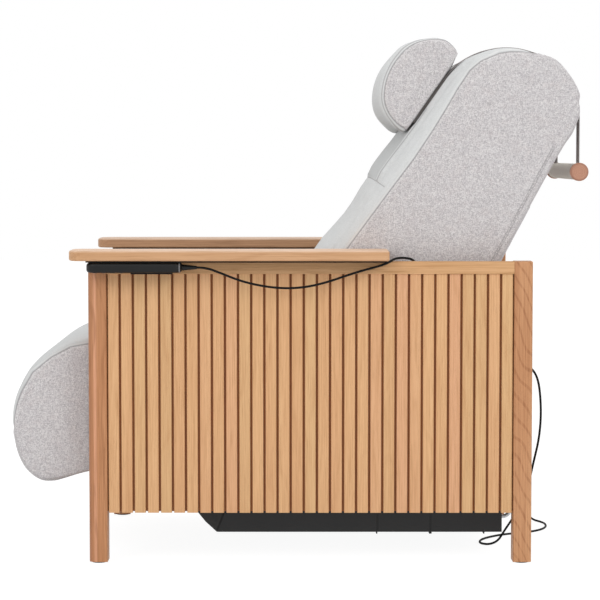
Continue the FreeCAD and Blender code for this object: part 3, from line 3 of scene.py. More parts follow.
import bpy
import numpy as np
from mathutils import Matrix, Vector


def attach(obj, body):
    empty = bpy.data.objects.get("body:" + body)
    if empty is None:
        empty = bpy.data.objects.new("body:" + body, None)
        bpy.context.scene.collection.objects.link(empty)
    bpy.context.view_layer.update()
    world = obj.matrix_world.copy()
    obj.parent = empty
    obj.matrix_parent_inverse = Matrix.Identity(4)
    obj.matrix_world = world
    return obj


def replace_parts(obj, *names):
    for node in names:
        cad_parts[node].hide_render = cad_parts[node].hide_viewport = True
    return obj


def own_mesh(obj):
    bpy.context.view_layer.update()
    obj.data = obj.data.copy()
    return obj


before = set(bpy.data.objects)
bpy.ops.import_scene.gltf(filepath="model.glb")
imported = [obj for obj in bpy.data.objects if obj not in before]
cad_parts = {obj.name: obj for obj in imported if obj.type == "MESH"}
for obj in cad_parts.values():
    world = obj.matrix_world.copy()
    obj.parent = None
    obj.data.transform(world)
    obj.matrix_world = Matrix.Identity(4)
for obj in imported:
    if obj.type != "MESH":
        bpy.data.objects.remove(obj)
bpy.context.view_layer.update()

# The chair stands side on in an even white room: one camera at hip height,
# a white floor that keeps the shadow under the legs, and three large soft lamps.
CAMERA_PLACE = (0, -4.591, 0.795)
CAMERA_DIP = 3.757
CAMERA_LENS = 133.35
CAMERA_FILM = 36
CAMERA_REACH = 60
FLOOR_SIZE = 24
FLOOR_GLOW = 0.93
ROOM_LIGHT = 0.8
LAMPS_LOOK_AT = (0, 0, 0.5)
LAMPS = {
    "lamp_front": ((-2.2, -3.2, 2.6), 2.2, 34),
    "lamp_rear": ((2.6, -2.6, 2.0), 2.0, 26),
    "lamp_over": ((0.1, 0.6, 3.4), 2.6, 16),
}

bpy.ops.object.select_all(action="DESELECT")
bpy.ops.object.camera_add(location=CAMERA_PLACE, rotation=(math.radians(90 - CAMERA_DIP), 0, 0))
camera = bpy.context.object
camera.data.lens = CAMERA_LENS
camera.data.sensor_width = CAMERA_FILM
camera.data.clip_end = CAMERA_REACH
bpy.context.scene.camera = camera
bpy.context.scene.view_settings.view_transform = "Standard"

for name, (place, size, power) in LAMPS.items():
    bpy.ops.object.light_add(type="AREA", location=place)
    lamp = bpy.context.object
    lamp.name = name
    lamp.data.shape = "DISK"
    lamp.data.size = size
    lamp.data.energy = power
    lamp.rotation_euler = (lamp.location - Vector(LAMPS_LOOK_AT)).to_track_quat("Z", "Y").to_euler()


class Reading:
    """A value that runs over a surface: sums on it add the nodes that work them out."""

    def __init__(self, tree, socket=None):
        self.tree = tree
        self.socket = socket

    def node(self, kind, settings, inputs, output=0):
        """Add a node of this kind, with its settings and the values or readings that go into it."""
        made = self.tree.nodes.new(kind)
        for key, value in settings.items():
            setattr(made, key, value)
        for key, value in inputs.items():
            if isinstance(value, Reading):
                self.tree.links.new(value.socket, made.inputs[key])
            elif isinstance(value, tuple) and len(value) == 3 and made.inputs[key].type == "RGBA":
                made.inputs[key].default_value = (*value, 1)
            else:
                made.inputs[key].default_value = value
        return Reading(self.tree, made.outputs[output])

    def sum(self, operation, *others):
        """One sum on this reading, by the name that the Math node has for it."""
        return self.node("ShaderNodeMath", {"operation": operation}, dict(enumerate((self, *others))))

    def __add__(self, other):
        return self.sum("ADD", other)

    def __radd__(self, other):
        return self.sum("ADD", other)

    def __sub__(self, other):
        return self.sum("SUBTRACT", other)

    def __rsub__(self, other):
        return self.node("ShaderNodeMath", {"operation": "SUBTRACT"}, {0: other, 1: self})

    def __mul__(self, other):
        return self.sum("MULTIPLY", other)

    def __rmul__(self, other):
        return self.sum("MULTIPLY", other)

    def __truediv__(self, other):
        return self.sum("DIVIDE", other)

    def __gt__(self, other):
        return self.sum("GREATER_THAN", other)

    def wave(self):
        return self.sum("SINE")

    def whole(self):
        return self.sum("FLOOR")

    def size(self):
        return self.sum("ABSOLUTE")

    def held(self, low, high):
        """0 at low and below, 1 at high and above, smooth between."""
        return self.node("ShaderNodeMapRange", {"interpolation_type": "SMOOTHSTEP"},
                         {"Value": self, "From Min": low, "From Max": high})

    def tint(self, first, second):
        """The first colour where this is 0, the second where it is 1."""
        return self.node("ShaderNodeMix", {"data_type": "RGBA"}, {0: self, 6: first, 7: second}, 2)

    def place(self, x, y, z):
        """A place put together from three readings."""
        return self.node("ShaderNodeCombineXYZ", {}, {0: x, 1: y, 2: z})

    def axes(self):
        """The three readings that make up this place."""
        parts = self.node("ShaderNodeSeparateXYZ", {}, {0: self})
        return [Reading(self.tree, parts.socket.node.outputs[i]) for i in range(3)]

    def cloud(self, scale, detail, rough=0.5):
        """Soft noise read at this place."""
        inputs = {"Vector": self, "Scale": scale, "Detail": detail, "Roughness": rough}
        return self.node("ShaderNodeTexNoise", {}, inputs)

    def chance(self):
        """A fixed random number for each whole place."""
        return self.node("ShaderNodeTexWhiteNoise", {}, {"Vector": self})


def tone(text):
    """A colour written as on screen, in the light's own terms."""
    parts = [int(text[i:i + 2], 16) / 255 for i in (0, 2, 4)]
    return tuple(part / 12.92 if part < 0.04045 else ((part + 0.055) / 1.055) ** 2.4 for part in parts)


def finish(name, **constants):
    """A new surface finish; returns it with a reading of its place on the object."""
    made = bpy.data.materials.new(name)
    made.use_nodes = True
    shader = made.node_tree.nodes["Principled BSDF"]
    for key, value in constants.items():
        shader.inputs[key.replace("_", " ")].default_value = value
    here = Reading(made.node_tree).node("ShaderNodeTexCoord", {}, {}, 3)
    return made, here


def lay_on(made, colour, rough, relief, depth):
    """Join the worked-out colour, roughness and relief to the finish. depth is the relief's, in metres."""
    tree = made.node_tree
    shader = tree.nodes["Principled BSDF"]
    tree.links.new(colour.socket, shader.inputs["Base Color"])
    if isinstance(rough, Reading):
        tree.links.new(rough.socket, shader.inputs["Roughness"])
    else:
        shader.inputs["Roughness"].default_value = rough
    bump = relief.node("ShaderNodeBump", {}, {"Height": relief, "Distance": depth, "Strength": 1.0})
    tree.links.new(bump.socket, shader.inputs["Normal"])


def seen_share(reading):
    """1 on what the camera sees, straight, mirrored or through glass, and 0 on what only lights the room."""
    rays = reading.node("ShaderNodeLightPath", {}, {}).socket.node
    straight, mirrored, through = (Reading(reading.tree, rays.outputs["Is %s Ray" % kind])
                                   for kind in ("Camera", "Glossy", "Transmission"))
    return (straight + mirrored + through).sum("MINIMUM", 1)


def dress(made, *nodes):
    """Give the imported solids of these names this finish."""
    for node in nodes:
        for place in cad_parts[node].material_slots:
            place.material = made


bpy.ops.mesh.primitive_plane_add(size=FLOOR_SIZE)
floor = bpy.context.object
floor.name = "room_floor"
room, here = finish("room_white", Roughness=0.9)
plain = here.node("ShaderNodeBsdfDiffuse", {}, {"Color": tone("E8E8E8")})
shadow = here.node("ShaderNodeBsdfDiffuse", {}, {"Color": tone("7A7A7A")})
glow = here.node("ShaderNodeEmission", {}, {"Color": (1, 1, 1), "Strength": FLOOR_GLOW})
bright = here.node("ShaderNodeAddShader", {}, {0: glow, 1: shadow})
both = here.node("ShaderNodeMixShader", {}, {0: seen_share(here), 1: plain, 2: bright})
room.node_tree.links.new(both.socket, room.node_tree.nodes["Material Output"].inputs["Surface"])
floor.data.materials.append(room)

world = bpy.data.worlds.new("room_air")
bpy.context.scene.world = world
world.use_nodes = True
air = world.node_tree.nodes["Background"]
air.inputs["Color"].default_value = (1, 1, 1, 1)
strength = ROOM_LIGHT + seen_share(Reading(world.node_tree)) * (1 - ROOM_LIGHT)
world.node_tree.links.new(strength.socket, air.inputs["Strength"])

# The handset's cord is a thin black round cable. It leaves the handset's relief, sags under the arm in front
# of the slats, crosses the rail inwards, passes down inside and behind the rear leg, lies in one loose loop
# on the floor and rises to the gland in the belly pan. Its route is in millimetres.
CORD_THICK = 0.0045
CORD_CURVE_ORDER = 3
CORD_ROUTE = (
    (-198, -335, 577.9), (-180, -335, 577.9), (-152, -334, 567), (-112, -333, 551), (-68, -331, 541),
    (-26, -329, 537), (14, -327, 540), (52, -325, 549), (90, -323, 562), (122, -321, 572),
    (150, -319, 579), (170, -316, 586), (184, -307, 594.5), (202, -290, 595), (223, -275, 590),
    (236, -272.5, 562), (257, -271, 524), (292, -270, 478), (335, -269, 436), (382, -265, 405),
    (418, -261.5, 390), (443, -260.5, 383), (458, -260.5, 372), (467, -261, 351), (471, -262, 317),
    (472, -262.5, 278), (468, -262, 235), (459, -256, 193), (453, -238, 154), (448, -200, 112),
    (442, -155, 78), (434, -118, 61), (427, -102, 45), (416, -97, 27), (404, -101, 8),
    (385, -112, 2.4), (368, -98, 2.4), (368, -72, 2.4), (378, -42, 2.4), (403, -10, 2.4),
    (431, 14, 2.4), (462, 28, 2.4), (492, 48, 2.4), (514, 76, 2.4), (525, 108, 2.4),
    (527, 146, 2.4), (519, 172, 2.4), (503, 190, 4), (484, 190, 26), (468, 176, 50),
    (455, 160, 70), (440, 150, 80), (422, 150, 80),
)
cord_line = bpy.data.curves.new("handset_lead", "CURVE")
cord_line.dimensions = "3D"
cord_line.bevel_depth = CORD_THICK / 2
cord_line.bevel_resolution = 3
cord_line.resolution_u = 8
cord_line.use_fill_caps = True
run = cord_line.splines.new("NURBS")
run.points.add(len(CORD_ROUTE) - 1)
for point, (x, y, z) in zip(run.points, CORD_ROUTE):
    point.co = (x / 1000, y / 1000, z / 1000, 1)
run.order_u = CORD_CURVE_ORDER
run.use_endpoint_u = True
lead = bpy.data.objects.new("handset_lead", cord_line)
bpy.context.scene.collection.objects.link(lead)
jacket, here = finish("lead_jacket", Roughness=0.6, Specular_IOR_Level=0.2)
scuff = here.cloud(260, 3)
colour = scuff.tint(tone("050505"), tone("101011"))
lay_on(jacket, colour, 0.5 + scuff * 0.22, here.cloud(900, 1), 0.0001)
cord_line.materials.append(jacket)
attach(lead, "chair_frame")
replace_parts(lead, "handset_cord")

# The legs, rails, slats and arms are solid oak, planed, eased at the edges and oiled.
# The slats are pinned side by side on a dark stained board, and no two come from one plank.
SLAT_START = -0.374
SLAT_PITCH = 0.0254
ARM_TOP = 0.611
# Where a painted highlight runs down the front legs, and how wide; painted shade lies in front of it.
LEG_PAINTED_HIGHLIGHT = (-0.397, 0.005)
OAK_DRIFT = (26, 1.5)
OAK_FIBRE = (520, 9)
OAK_PORE = (1300, 26)
OAK_WANDER = (9, 3.2)
OAK_RINGS = 210
OAK_RING_TILT = 0.6
OAK_RING_WANDER = 26
OAK_LOG = 3
OAK_FAR_LOG = 40
OAK_LOG_STEP = 9
OAK_RELIEF = 0.00025


def oak(name, light, deep, pore, lengthways, plank=False, lines=0.3, lean=0.0, corner=None, top=None):
    """Oiled oak: a slow change of tone, long fibres, short dark pores and some ring lines.

    plank gives each slat its own tone and place in the log. lines is how strong the rings are, and lean how
    far they run across. corner places a painted highlight along an edge, and how wide, with painted shade
    along the edge in front of it. top is the height of a top edge with a band of painted highlight below it.
    """
    made, here = finish(name, Roughness=0.5, Specular_IOR_Level=0.35)
    x, y, z = here.axes()
    run = z if lengthways == "Z" else x
    across = x if lengthways == "Z" else z
    number = ((x - SLAT_START) / SLAT_PITCH).whole() if plank else x * 0 + OAK_LOG
    side = (y > 0) * OAK_FAR_LOG
    seed = here.place(number, side, 0).chance()
    shift = seed * OAK_LOG_STEP

    def grain(scales, sideways=0):
        wide, long = scales
        return here.place(across * wide + shift, y * wide + sideways, run * long + shift)

    drift = grain(OAK_DRIFT, shift).cloud(1, 3)
    fibre = grain(OAK_FIBRE).cloud(1, 3, 0.6)
    fine = grain(OAK_PORE).cloud(1, 2)
    wander = grain(OAK_WANDER).cloud(1, 2) - 0.5
    ring = (across + y * OAK_RING_TILT) * OAK_RINGS + run * lean + wander * OAK_RING_WANDER
    line = (ring + shift).wave().held(0.62, 0.98) * fibre.held(0.3, 0.62)
    hole = fine.held(0.6, 0.72)
    colour = drift.held(0.25, 0.75).tint(light, deep)
    if plank:
        colour = (seed.held(0.6, 0.9) * 0.45).tint(colour, tone("E2A888"))
        colour = ((1 - seed.held(0.1, 0.4)) * 0.4).tint(colour, tone("D6B482"))
    # Painted highlight: a pale stripe where the rounded front edge would catch the lamp, with painted shade
    # in front of it.
    if corner:
        painted_highlight = 1 - (x - corner[0]).size().held(0.001, corner[1])
        colour = (painted_highlight * 0.75).tint(colour, tone("E8AA88"))
        colour = ((1 - x.held(corner[0] - 0.01, corner[0])) * 0.4).tint(colour, tone("9A6048"))
    # Painted highlight: a pale band along the top edge.
    if top:
        colour = (z.held(top - 0.0045, top - 0.001) * 0.55).tint(colour, tone("F4DAC4"))
    colour = (fibre.held(0.3, 0.75) * 0.5).tint(colour, pore)
    colour = (line * lines).tint(colour, pore)
    colour = (hole * 0.35).tint(colour, pore)
    lay_on(made, colour, 0.42 + fibre * 0.16, fibre * 0.5 - hole * 0.6 - line * 0.3, OAK_RELIEF)
    return made


front_oak = oak("front_leg_oak", tone("D0986C"), tone("BE845A"), tone("94603A"), "Z", lines=0.4, lean=14,
                corner=LEG_PAINTED_HIGHLIGHT)
rear_oak = oak("rear_leg_oak", tone("D8A478"), tone("C28A60"), tone("945E3A"), "Z", lines=0.6, lean=150)
slat_oak = oak("slat_oak", tone("E4B686"), tone("DAA87A"), tone("B98658"), "Z", plank=True, lines=0.22)
rail_oak = oak("rail_oak", tone("DAAC7E"), tone("CA9A6A"), tone("A87846"), "X")
# Both arms carry a painted highlight along their top edge.
arm_oak = oak("arm_oak", tone("D8AC84"), tone("CC9E74"), tone("AC7C52"), "X", top=ARM_TOP)
# The far arm's oak is a darker copy of the near arm's: painted shade.
far_arm_shaded_oak = oak("far_arm_oak_shaded", tone("C29672"), tone("B28664"), tone("8E6848"), "X", top=ARM_TOP)
dress(front_oak, "leg_front_left", "leg_front_right")
dress(rear_oak, "leg_rear_left", "leg_rear_right")
dress(slat_oak, "slats_left", "slats_right")
dress(rail_oak, "top_rail_left", "top_rail_right")
dress(arm_oak, "arm_left")
dress(far_arm_shaded_oak, "arm_right")

stained, here = finish("stained_board", Roughness=0.6)
x, y, z = here.axes()
fibre = here.place(x * 300, y * 300, z * 9).cloud(1, 3)
colour = fibre.tint(tone("8C5630"), tone("A87040"))
lay_on(stained, colour, 0.5 + fibre * 0.2, fibre, 0.0002)
dress(stained, "side_board_left", "side_board_right")

# Under each arm runs a thin dark steel plate, screwed up into the arm, and a bent wire holds the handset.
# Both are powder coated, which leaves a fine orange peel.
POWDER_GRAIN = (900, 2)
POWDER_PATCH = (18, 2)
POWDER_ROUGH = (0.4, 0.2)
COAT_RELIEF = 0.0001


def coated(name, tones, patch, grain, rough, depth=COAT_RELIEF, **constants):
    """A plain coat: two near tones in soft patches, and a fine grain in its shine and relief.

    patch and grain say how close each noise lies and how fine it is. rough is the least roughness, and what
    the grain adds to it. Without a patch, the grain mixes the tones as well.
    """
    made, here = finish(name, **constants)
    speck = here.cloud(*grain)
    mix = here.cloud(*patch) if patch else speck
    colour = mix.tint(tone(tones[0]), tone(tones[1]))
    lay_on(made, colour, rough[0] + speck * rough[1], speck, depth)
    return made


powder = coated("dark_powder_coat", ("0B0B0B", "121213"), POWDER_PATCH, POWDER_GRAIN, POWDER_ROUGH,
                Roughness=0.55, Specular_IOR_Level=0.2)
dress(powder, "arm_plates", "handset_holder")

# The belly pan is three bent steel sections, hung under the seat from straps and rods, in a paler coat.
# Painted shade darkens their bends and seams, and painted light makes the sloping front paler.
PAN_LOW = 0.04
PAN_SEAMS = (0.155, 0.261)
PAN_FOLD_PLACE = -0.167
PAN_FOLD_SLOPE = 0.064 / 0.165
PAN_BEND_SHADE_WIDTH = 0.005
PAN_SEAM_SHADE_WIDTH = (0.0006, 0.0036)
pan_coat, here = finish("pan_powder_coat", Roughness=0.5, Specular_IOR_Level=0.4)
x, y, z = here.axes()
pimple = here.cloud(*POWDER_GRAIN)
bend_shade = (z - PAN_LOW).size().held(0, PAN_BEND_SHADE_WIDTH)
fold = x - (z - PAN_LOW) * PAN_FOLD_SLOPE - PAN_FOLD_PLACE
bend_shade = bend_shade * fold.size().held(*PAN_SEAM_SHADE_WIDTH)
for place in PAN_SEAMS:
    bend_shade = bend_shade * (x - place).size().held(*PAN_SEAM_SHADE_WIDTH)
colour = here.cloud(*POWDER_PATCH).tint(tone("202020"), tone("272728"))
# Painted light on the sloping front, and painted shade in the bends and seams.
colour = fold.held(-0.002, 0).tint(tone("3A3B3B"), colour)
colour = (bend_shade * 0.9 + 0.1).tint(tone("060606"), colour)
lay_on(pan_coat, colour, POWDER_ROUGH[0] + pimple * POWDER_ROUGH[1], pimple, COAT_RELIEF)
dress(pan_coat, "pan_front", "pan_middle", "pan_rear")

# Black mouldings with a fine grain: the foot glides pushed into the legs, the box, inlet and gland in
# the pan, and the housings of the two actuators, which hang between their brackets.
moulded = coated("black_moulding", ("242526", "2E3032"), (30, 2), (1400, 2), (0.42, 0.22), Roughness=0.5)
dress(moulded, "foot_glides", "control_box", "mains_inlet", "cord_gland", "back_actuator_housing",
      "legrest_actuator_housing")

# Screws, bolts and pins are zinc plated steel, drawn and turned, and so are the actuators' rods and
# the rods that the pan hangs from.
zinc = coated("zinc_plate", ("A8AAAC", "C4C6C8"), None, (240, 4), (0.3, 0.25), 0.00008, Metallic=1.0)
dress(zinc, "arm_screws", "pivot_bolts", "pan_hangers", "actuator_mount_pins", "back_actuator_rod",
      "back_actuator_pin", "legrest_actuator_rod", "legrest_actuator_pin")

# The steel that carries seat, back and calf rest is welded tube and plate under a grey powder coat.
# It turns on pressed-in flanged bushes of bronze.
welded = coated("grey_powder_coat", ("57585A", "656668"), (14, 2), (700, 2), (0.38, 0.2), Roughness=0.45)
dress(welded, "seat_crossbars", "pivot_plates", "actuator_brackets", "backrest_frame", "backrest_lever",
      "legrest_frame", "legrest_lever")
bronze = coated("bush_bronze", ("B08A4E", "CFA864"), None, (900, 3), (0.35, 0.25), Metallic=1.0)
dress(bronze, "pivot_bushes")

# The boards under the padding are plywood, and the rails between the legs and under the seat plain
# softwood, all of them glued and screwed and left pale. The cross rails show from the front and rear.
ply, here = finish("plain_ply", Roughness=0.65)
x, y, z = here.axes()
streak = here.place(x * 40, y * 300, z * 40).cloud(1, 4)
layer = (z * 420).wave().held(-0.2, 0.2)
colour = (streak * 0.7 + layer * 0.2).tint(tone("D8B98A"), tone("B08A58"))
lay_on(ply, colour, 0.55 + streak * 0.2, streak, 0.0002)
dress(ply, "front_cross_rail", "rear_cross_rail", "seat_rails", "seat_board", "backrest_board",
      "legrest_board")

# Seat, back, calf rest and head pillow are foam in a sewn cover: tweed on the sides, a smoother pale
# cloth on the faces, with a seam where the two meet. The foam fills its cover and rounds every edge.
SOFT_SHRINK = 0.0015
SOFT_SWELL = 0.005
SOFT_DRAWN = 0.0008
SWELL_SPREAD = 0.02
CLOTH_QUALITY = 4
CLOTH_MASS = 0.3
CLOTH_PRESSURE = 4
STILL_STEPS = 21
ROOM_DEPTH = 0.012
SEAM_DEPTH = 0.0016
SEAM_WIDTH = 0.0024
SEAM_LEAST = 0.0015
SEAM_AWAY = 0.03
NO_LINE = 0.05
END_FACING = 0.7
END_SHARE = 0.8
EDGE_SHARE = 0.97


def outline(places):
    """The outer line round a set of places."""
    order = sorted(set(map(tuple, np.round(places, 6))))
    halves = []
    for run in (order, order[::-1]):
        half = []
        for place in run:
            while len(half) > 1:
                (ax, az), (bx, bz) = half[-2:]
                if (bx - ax) * (place[1] - az) - (bz - az) * (place[0] - ax) > 1e-9:
                    break
                half.pop()
            half.append(place)
        halves += half[:-1]
    return np.array(halves)


def inset_from(line, places):
    """How far inside a closed line each place is, how far along it, and which way the line faces there."""
    step = np.roll(line, -1, axis=0) - line
    length = np.linalg.norm(step, axis=1)
    before = np.concatenate(([0], np.cumsum(length)[:-1]))
    unit = step / length[:, None]
    depth = np.full(len(places), np.inf)
    along = np.zeros(len(places))
    faces = np.zeros((len(places), 2))
    for start, way, far, run in zip(line, unit, length, before):
        away = places - start
        on = np.clip(away @ way, 0, far)
        gap = np.linalg.norm(away - on[:, None] * way, axis=1)
        inside = np.sign(way[0] * away[:, 1] - way[1] * away[:, 0])
        nearer = gap < np.abs(depth)
        depth = np.where(nearer, gap * np.where(inside == 0, 1, inside), depth)
        along = np.where(nearer, run + on, along)
        faces[nearer] = (way[1], -way[0])
    return depth, along, faces


def places_of(piece):
    places = np.empty(len(piece.data.vertices) * 3)
    piece.data.vertices.foreach_get("co", places)
    return places.reshape(-1, 3)


def facing_of(piece):
    facing = np.empty(len(piece.data.vertices) * 3)
    piece.data.vertices.foreach_get("normal", facing)
    return facing.reshape(-1, 3)


def set_places(piece, places):
    piece.data.vertices.foreach_set("co", places.ravel())
    piece.data.update()


def pick(piece):
    bpy.ops.object.select_all(action="DESELECT")
    piece.select_set(True)
    bpy.context.view_layer.objects.active = piece


def ease(piece, name, rounds):
    """Even out the surface between neighbouring places, this many times."""
    change = piece.modifiers.new(name, "SMOOTH")
    change.factor = 0.5
    change.iterations = rounds


def apply_all(piece):
    bpy.context.view_layer.objects.active = piece
    for change in list(piece.modifiers):
        bpy.ops.object.modifier_apply(modifier=change.name)


def rise(values, low, high):
    """0 at low and below, 1 at high and above, smooth between."""
    share = np.clip((values - low) / (high - low), 0, 1)
    return share * share * (3 - 2 * share)


def hill(values, middle, width):
    return np.exp(-((values - middle) / width) ** 2)


def stuffed(node, name, voxel, line, half):
    """A soft copy of a packed pad: drawn in, blown up as cloth and held to a small swell.

    The walls of the room for its frame, deeper than the padding's skin, stay where they are.
    """
    piece = bpy.data.objects.new(name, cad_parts[node].data.copy())
    piece.data.materials.clear()
    bpy.context.scene.collection.objects.link(piece)
    pick(piece)
    bpy.ops.object.mode_set(mode="EDIT")
    bpy.ops.mesh.select_all(action="SELECT")
    bpy.ops.mesh.remove_doubles(threshold=0.0001)
    bpy.ops.mesh.normals_make_consistent(inside=False)
    bpy.ops.object.mode_set(mode="OBJECT")
    grid = piece.modifiers.new("even_mesh", "REMESH")
    grid.mode = "VOXEL"
    grid.voxel_size = voxel
    ease(piece, "eased", 5)
    apply_all(piece)
    whole = places_of(piece)
    facing = facing_of(piece)
    depth = inset_from(line, whole[:, (0, 2)])[0]
    skin = (depth < ROOM_DEPTH) | (np.abs(whole[:, 1]) > half - ROOM_DEPTH)
    start = whole - facing * (SOFT_SHRINK * skin)[:, None]
    set_places(piece, start)
    blown = piece.modifiers.new("stuffing", "CLOTH")
    blown.settings.quality = CLOTH_QUALITY
    blown.settings.mass = CLOTH_MASS
    blown.settings.use_pressure = True
    blown.settings.uniform_pressure_force = CLOTH_PRESSURE
    blown.settings.effector_weights.gravity = 0
    blown.point_cache.frame_start = 1
    blown.point_cache.frame_end = STILL_STEPS - 1
    for moment in range(1, STILL_STEPS):
        bpy.context.scene.frame_set(moment)
    solved = piece.evaluated_get(bpy.context.evaluated_depsgraph_get())
    grown = np.empty(len(solved.data.vertices) * 3)
    solved.data.vertices.foreach_get("co", grown)
    out = ((grown.reshape(-1, 3) - start) * facing).sum(axis=1)
    held = np.where(out > 0, SOFT_SWELL, SOFT_DRAWN) * np.tanh(out / SWELL_SPREAD)
    piece.modifiers.remove(blown)
    bpy.context.scene.frame_set(1)
    set_places(piece, start + facing * (held * skin)[:, None])
    divide = piece.modifiers.new("finer", "SUBSURF")
    divide.levels = 1
    divide.render_levels = 1
    ease(piece, "settled", 3)
    apply_all(piece)
    piece.data.shade_smooth()
    return piece


def push(piece, amount):
    """Move the surface out along its own facing, or in where the amount is below zero."""
    set_places(piece, places_of(piece) + facing_of(piece) * amount[:, None])


def sewn(gap, where=1.0):
    """The relief of one seam: drawn in on its line, with a slight swell on both sides of it."""
    drawn = -SEAM_DEPTH * hill(gap, 0, SEAM_WIDTH)
    swell = SEAM_DEPTH / 3 * hill(np.abs(gap), 3 * SEAM_WIDTH, SEAM_WIDTH)
    return (drawn + swell) * where


def store(piece, name, values):
    """Keep one number for each place on the piece, for its finish to read."""
    piece.data.attributes.new(name, "FLOAT", "POINT").data.foreach_set("value", values.astype(np.float32))


def cloth_lines(piece, depth, along, half):
    """The cloth's own map in metres: flat on the two ends, unrolled round the faces."""
    corner = np.empty(len(piece.data.loops), np.int32)
    piece.data.loops.foreach_get("vertex_index", corner)
    count = np.empty(len(piece.data.polygons), np.int32)
    piece.data.polygons.foreach_get("loop_total", count)
    places = places_of(piece)
    owner = np.repeat(np.arange(len(count)), count)
    sideways = np.abs(facing_of(piece)[:, 1])
    flat = (np.bincount(owner, sideways[corner]) / count > END_FACING)[owner]
    edge = np.abs(places[:, 1]) > half * EDGE_SHARE
    across = np.where(edge, np.sign(places[:, 1]) * (half + np.maximum(depth, 0)), places[:, 1])
    u = np.where(flat, places[corner, 0], across[corner])
    v = np.where(flat, places[corner, 2], along[corner])
    lines = piece.data.uv_layers.new(name="cloth")
    lines.data.foreach_set("uv", np.stack((u, v), axis=1).astype(np.float32).ravel())


THREAD = 0.0013
YARN_RUN = 3
SEAM_HIGHLIGHT_OFF = 0.0034
SEAM_SHADE_HALF = 0.0017
STITCH_SHADE_HALF = 0.0013
cover, here = finish("tweed_cover", Roughness=0.92, Specular_IOR_Level=0.2)
u, v, _ = here.node("ShaderNodeUVMap", {"uv_map": "cloth"}, {}).axes()
seam = here.node("ShaderNodeAttribute", {"attribute_name": "seam"}, {}, 2)
stitch = here.node("ShaderNodeAttribute", {"attribute_name": "stitch"}, {}, 2)
painted_cloth_shade = here.node("ShaderNodeAttribute", {"attribute_name": "painted_cloth_shade"}, {}, 2)
side = seam.held(-0.0004, 0.0004)
warp = u / THREAD
weft = v / THREAD
over = (warp * math.pi).wave() * (weft * math.pi).wave()
warp_start = here.place(warp.whole(), 3, 0).chance() * YARN_RUN
weft_start = here.place(weft.whole(), 7, 0).chance() * YARN_RUN
warp_yarn = here.place(warp.whole(), (weft / YARN_RUN + warp_start).whole(), 1).chance()
weft_yarn = here.place((warp / YARN_RUN + weft_start).whole(), weft.whole(), 2).chance()
top = over > 0
yarn = top * warp_yarn + (1 - top) * weft_yarn
dark_fleck = here.cloud(600, 3, 0.75)
moved = here.node("ShaderNodeMapping", {}, {"Vector": here, "Location": (3.1, 1.7, 5.3)})
light_fleck = moved.cloud(540, 3, 0.7)
patch = here.cloud(60, 3, 0.6)
colour = yarn.held(0.05, 0.95).tint(tone("BEB9BC"), tone("ECE9E9"))
colour = (patch.held(0.45, 0.7) * 0.1).tint(colour, tone("DCCAC7"))
colour = (dark_fleck.held(0.5, 0.66) * 0.6).tint(colour, tone("A29E9F"))
colour = (light_fleck.held(0.54, 0.68) * 0.75).tint(colour, tone("F8F6F5"))
smooth = (yarn * 0.4 + patch * 0.6).tint(tone("CACCCC"), tone("DCDDDD"))
smooth = (dark_fleck.held(0.5, 0.66) * 0.22).tint(smooth, tone("A8A8A8"))
smooth = (light_fleck.held(0.54, 0.7) * 0.3).tint(smooth, tone("F2F2F2"))
# Painted shade darkens the smooth cloth where the piece asks for it: the back's centre panel and the calf
# rest.
smooth = (painted_cloth_shade * 0.55).tint(smooth, tone("B4B6B6"))
colour = side.tint(smooth, colour)
# Painted highlight: a pale line just beside each seam, where its swell would catch the light.
seam_ridge_highlight = 1 - (seam.size() - SEAM_HIGHLIGHT_OFF).size().held(0.0003, 0.0016)
colour = (seam_ridge_highlight * 0.3).tint(colour, tone("EFEDEB"))
# Painted shade: a dark line on each seam and stitched line, as in their grooves; the same mask sinks them in
# the relief.
crease = (1 - seam.size().held(0.0004, SEAM_SHADE_HALF)) * 0.6
crease = crease + (1 - stitch.size().held(0.0003, STITCH_SHADE_HALF)) * 0.5
colour = crease.tint(colour, tone("848082"))
relief = over.size() * (0.35 + side * 0.65) + yarn * side * 0.6 - crease * 1.2
lay_on(cover, colour, 0.86 + yarn * 0.12, relief, 0.0004)


def end_seam(far, places, depth, half):
    """Signed distance to a seam on the two ends, this far inside the outline.

    Where far is below zero there is no seam, and the tweed runs right round.
    """
    at_end = np.abs(places[:, 1]) > half * END_SHARE
    gap = np.where(at_end, depth - np.maximum(far, SEAM_LEAST), -SEAM_AWAY)
    return np.where((far < 0) & ~at_end, SEAM_AWAY, gap)


def upholster(node, name, body, voxel, seam, shape):
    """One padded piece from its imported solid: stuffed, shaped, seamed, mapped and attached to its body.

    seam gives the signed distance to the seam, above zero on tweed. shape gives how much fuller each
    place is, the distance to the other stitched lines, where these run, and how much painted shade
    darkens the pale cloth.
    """
    solid = places_of(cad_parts[node])
    half = np.abs(solid[:, 1]).max()
    line = outline(solid[:, (0, 2)])
    piece = stuffed(node, name, voxel, line, half)
    places = places_of(piece)
    depth, along, faces = inset_from(line, places[:, (0, 2)])
    gap = seam(places, depth, faces, half)
    fuller, stitch, where, painted_cloth_shade = shape(places, depth, faces, half)
    push(piece, fuller * (1 - facing_of(piece)[:, 1] ** 2))
    ease(piece, "drawn_even", 4)
    apply_all(piece)
    push(piece, sewn(gap) + sewn(stitch, where))
    store(piece, "seam", gap)
    store(piece, "stitch", np.where(where > 0.5, stitch, NO_LINE))
    store(piece, "painted_cloth_shade", painted_cloth_shade)
    cloth_lines(piece, depth, along, half)
    piece.data.materials.append(cover)
    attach(piece, body)
    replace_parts(piece, node)
    return piece


# The seat cushion is a flat pad, filled a little by its foam. It lies on its board between the side rails,
# and its seams run round the two ends, just inside their outline.
SEAT_SEAM = 0.012


def seat_seam(places, depth, faces, half):
    return end_seam(np.full(len(places), SEAT_SEAM), places, depth, half)


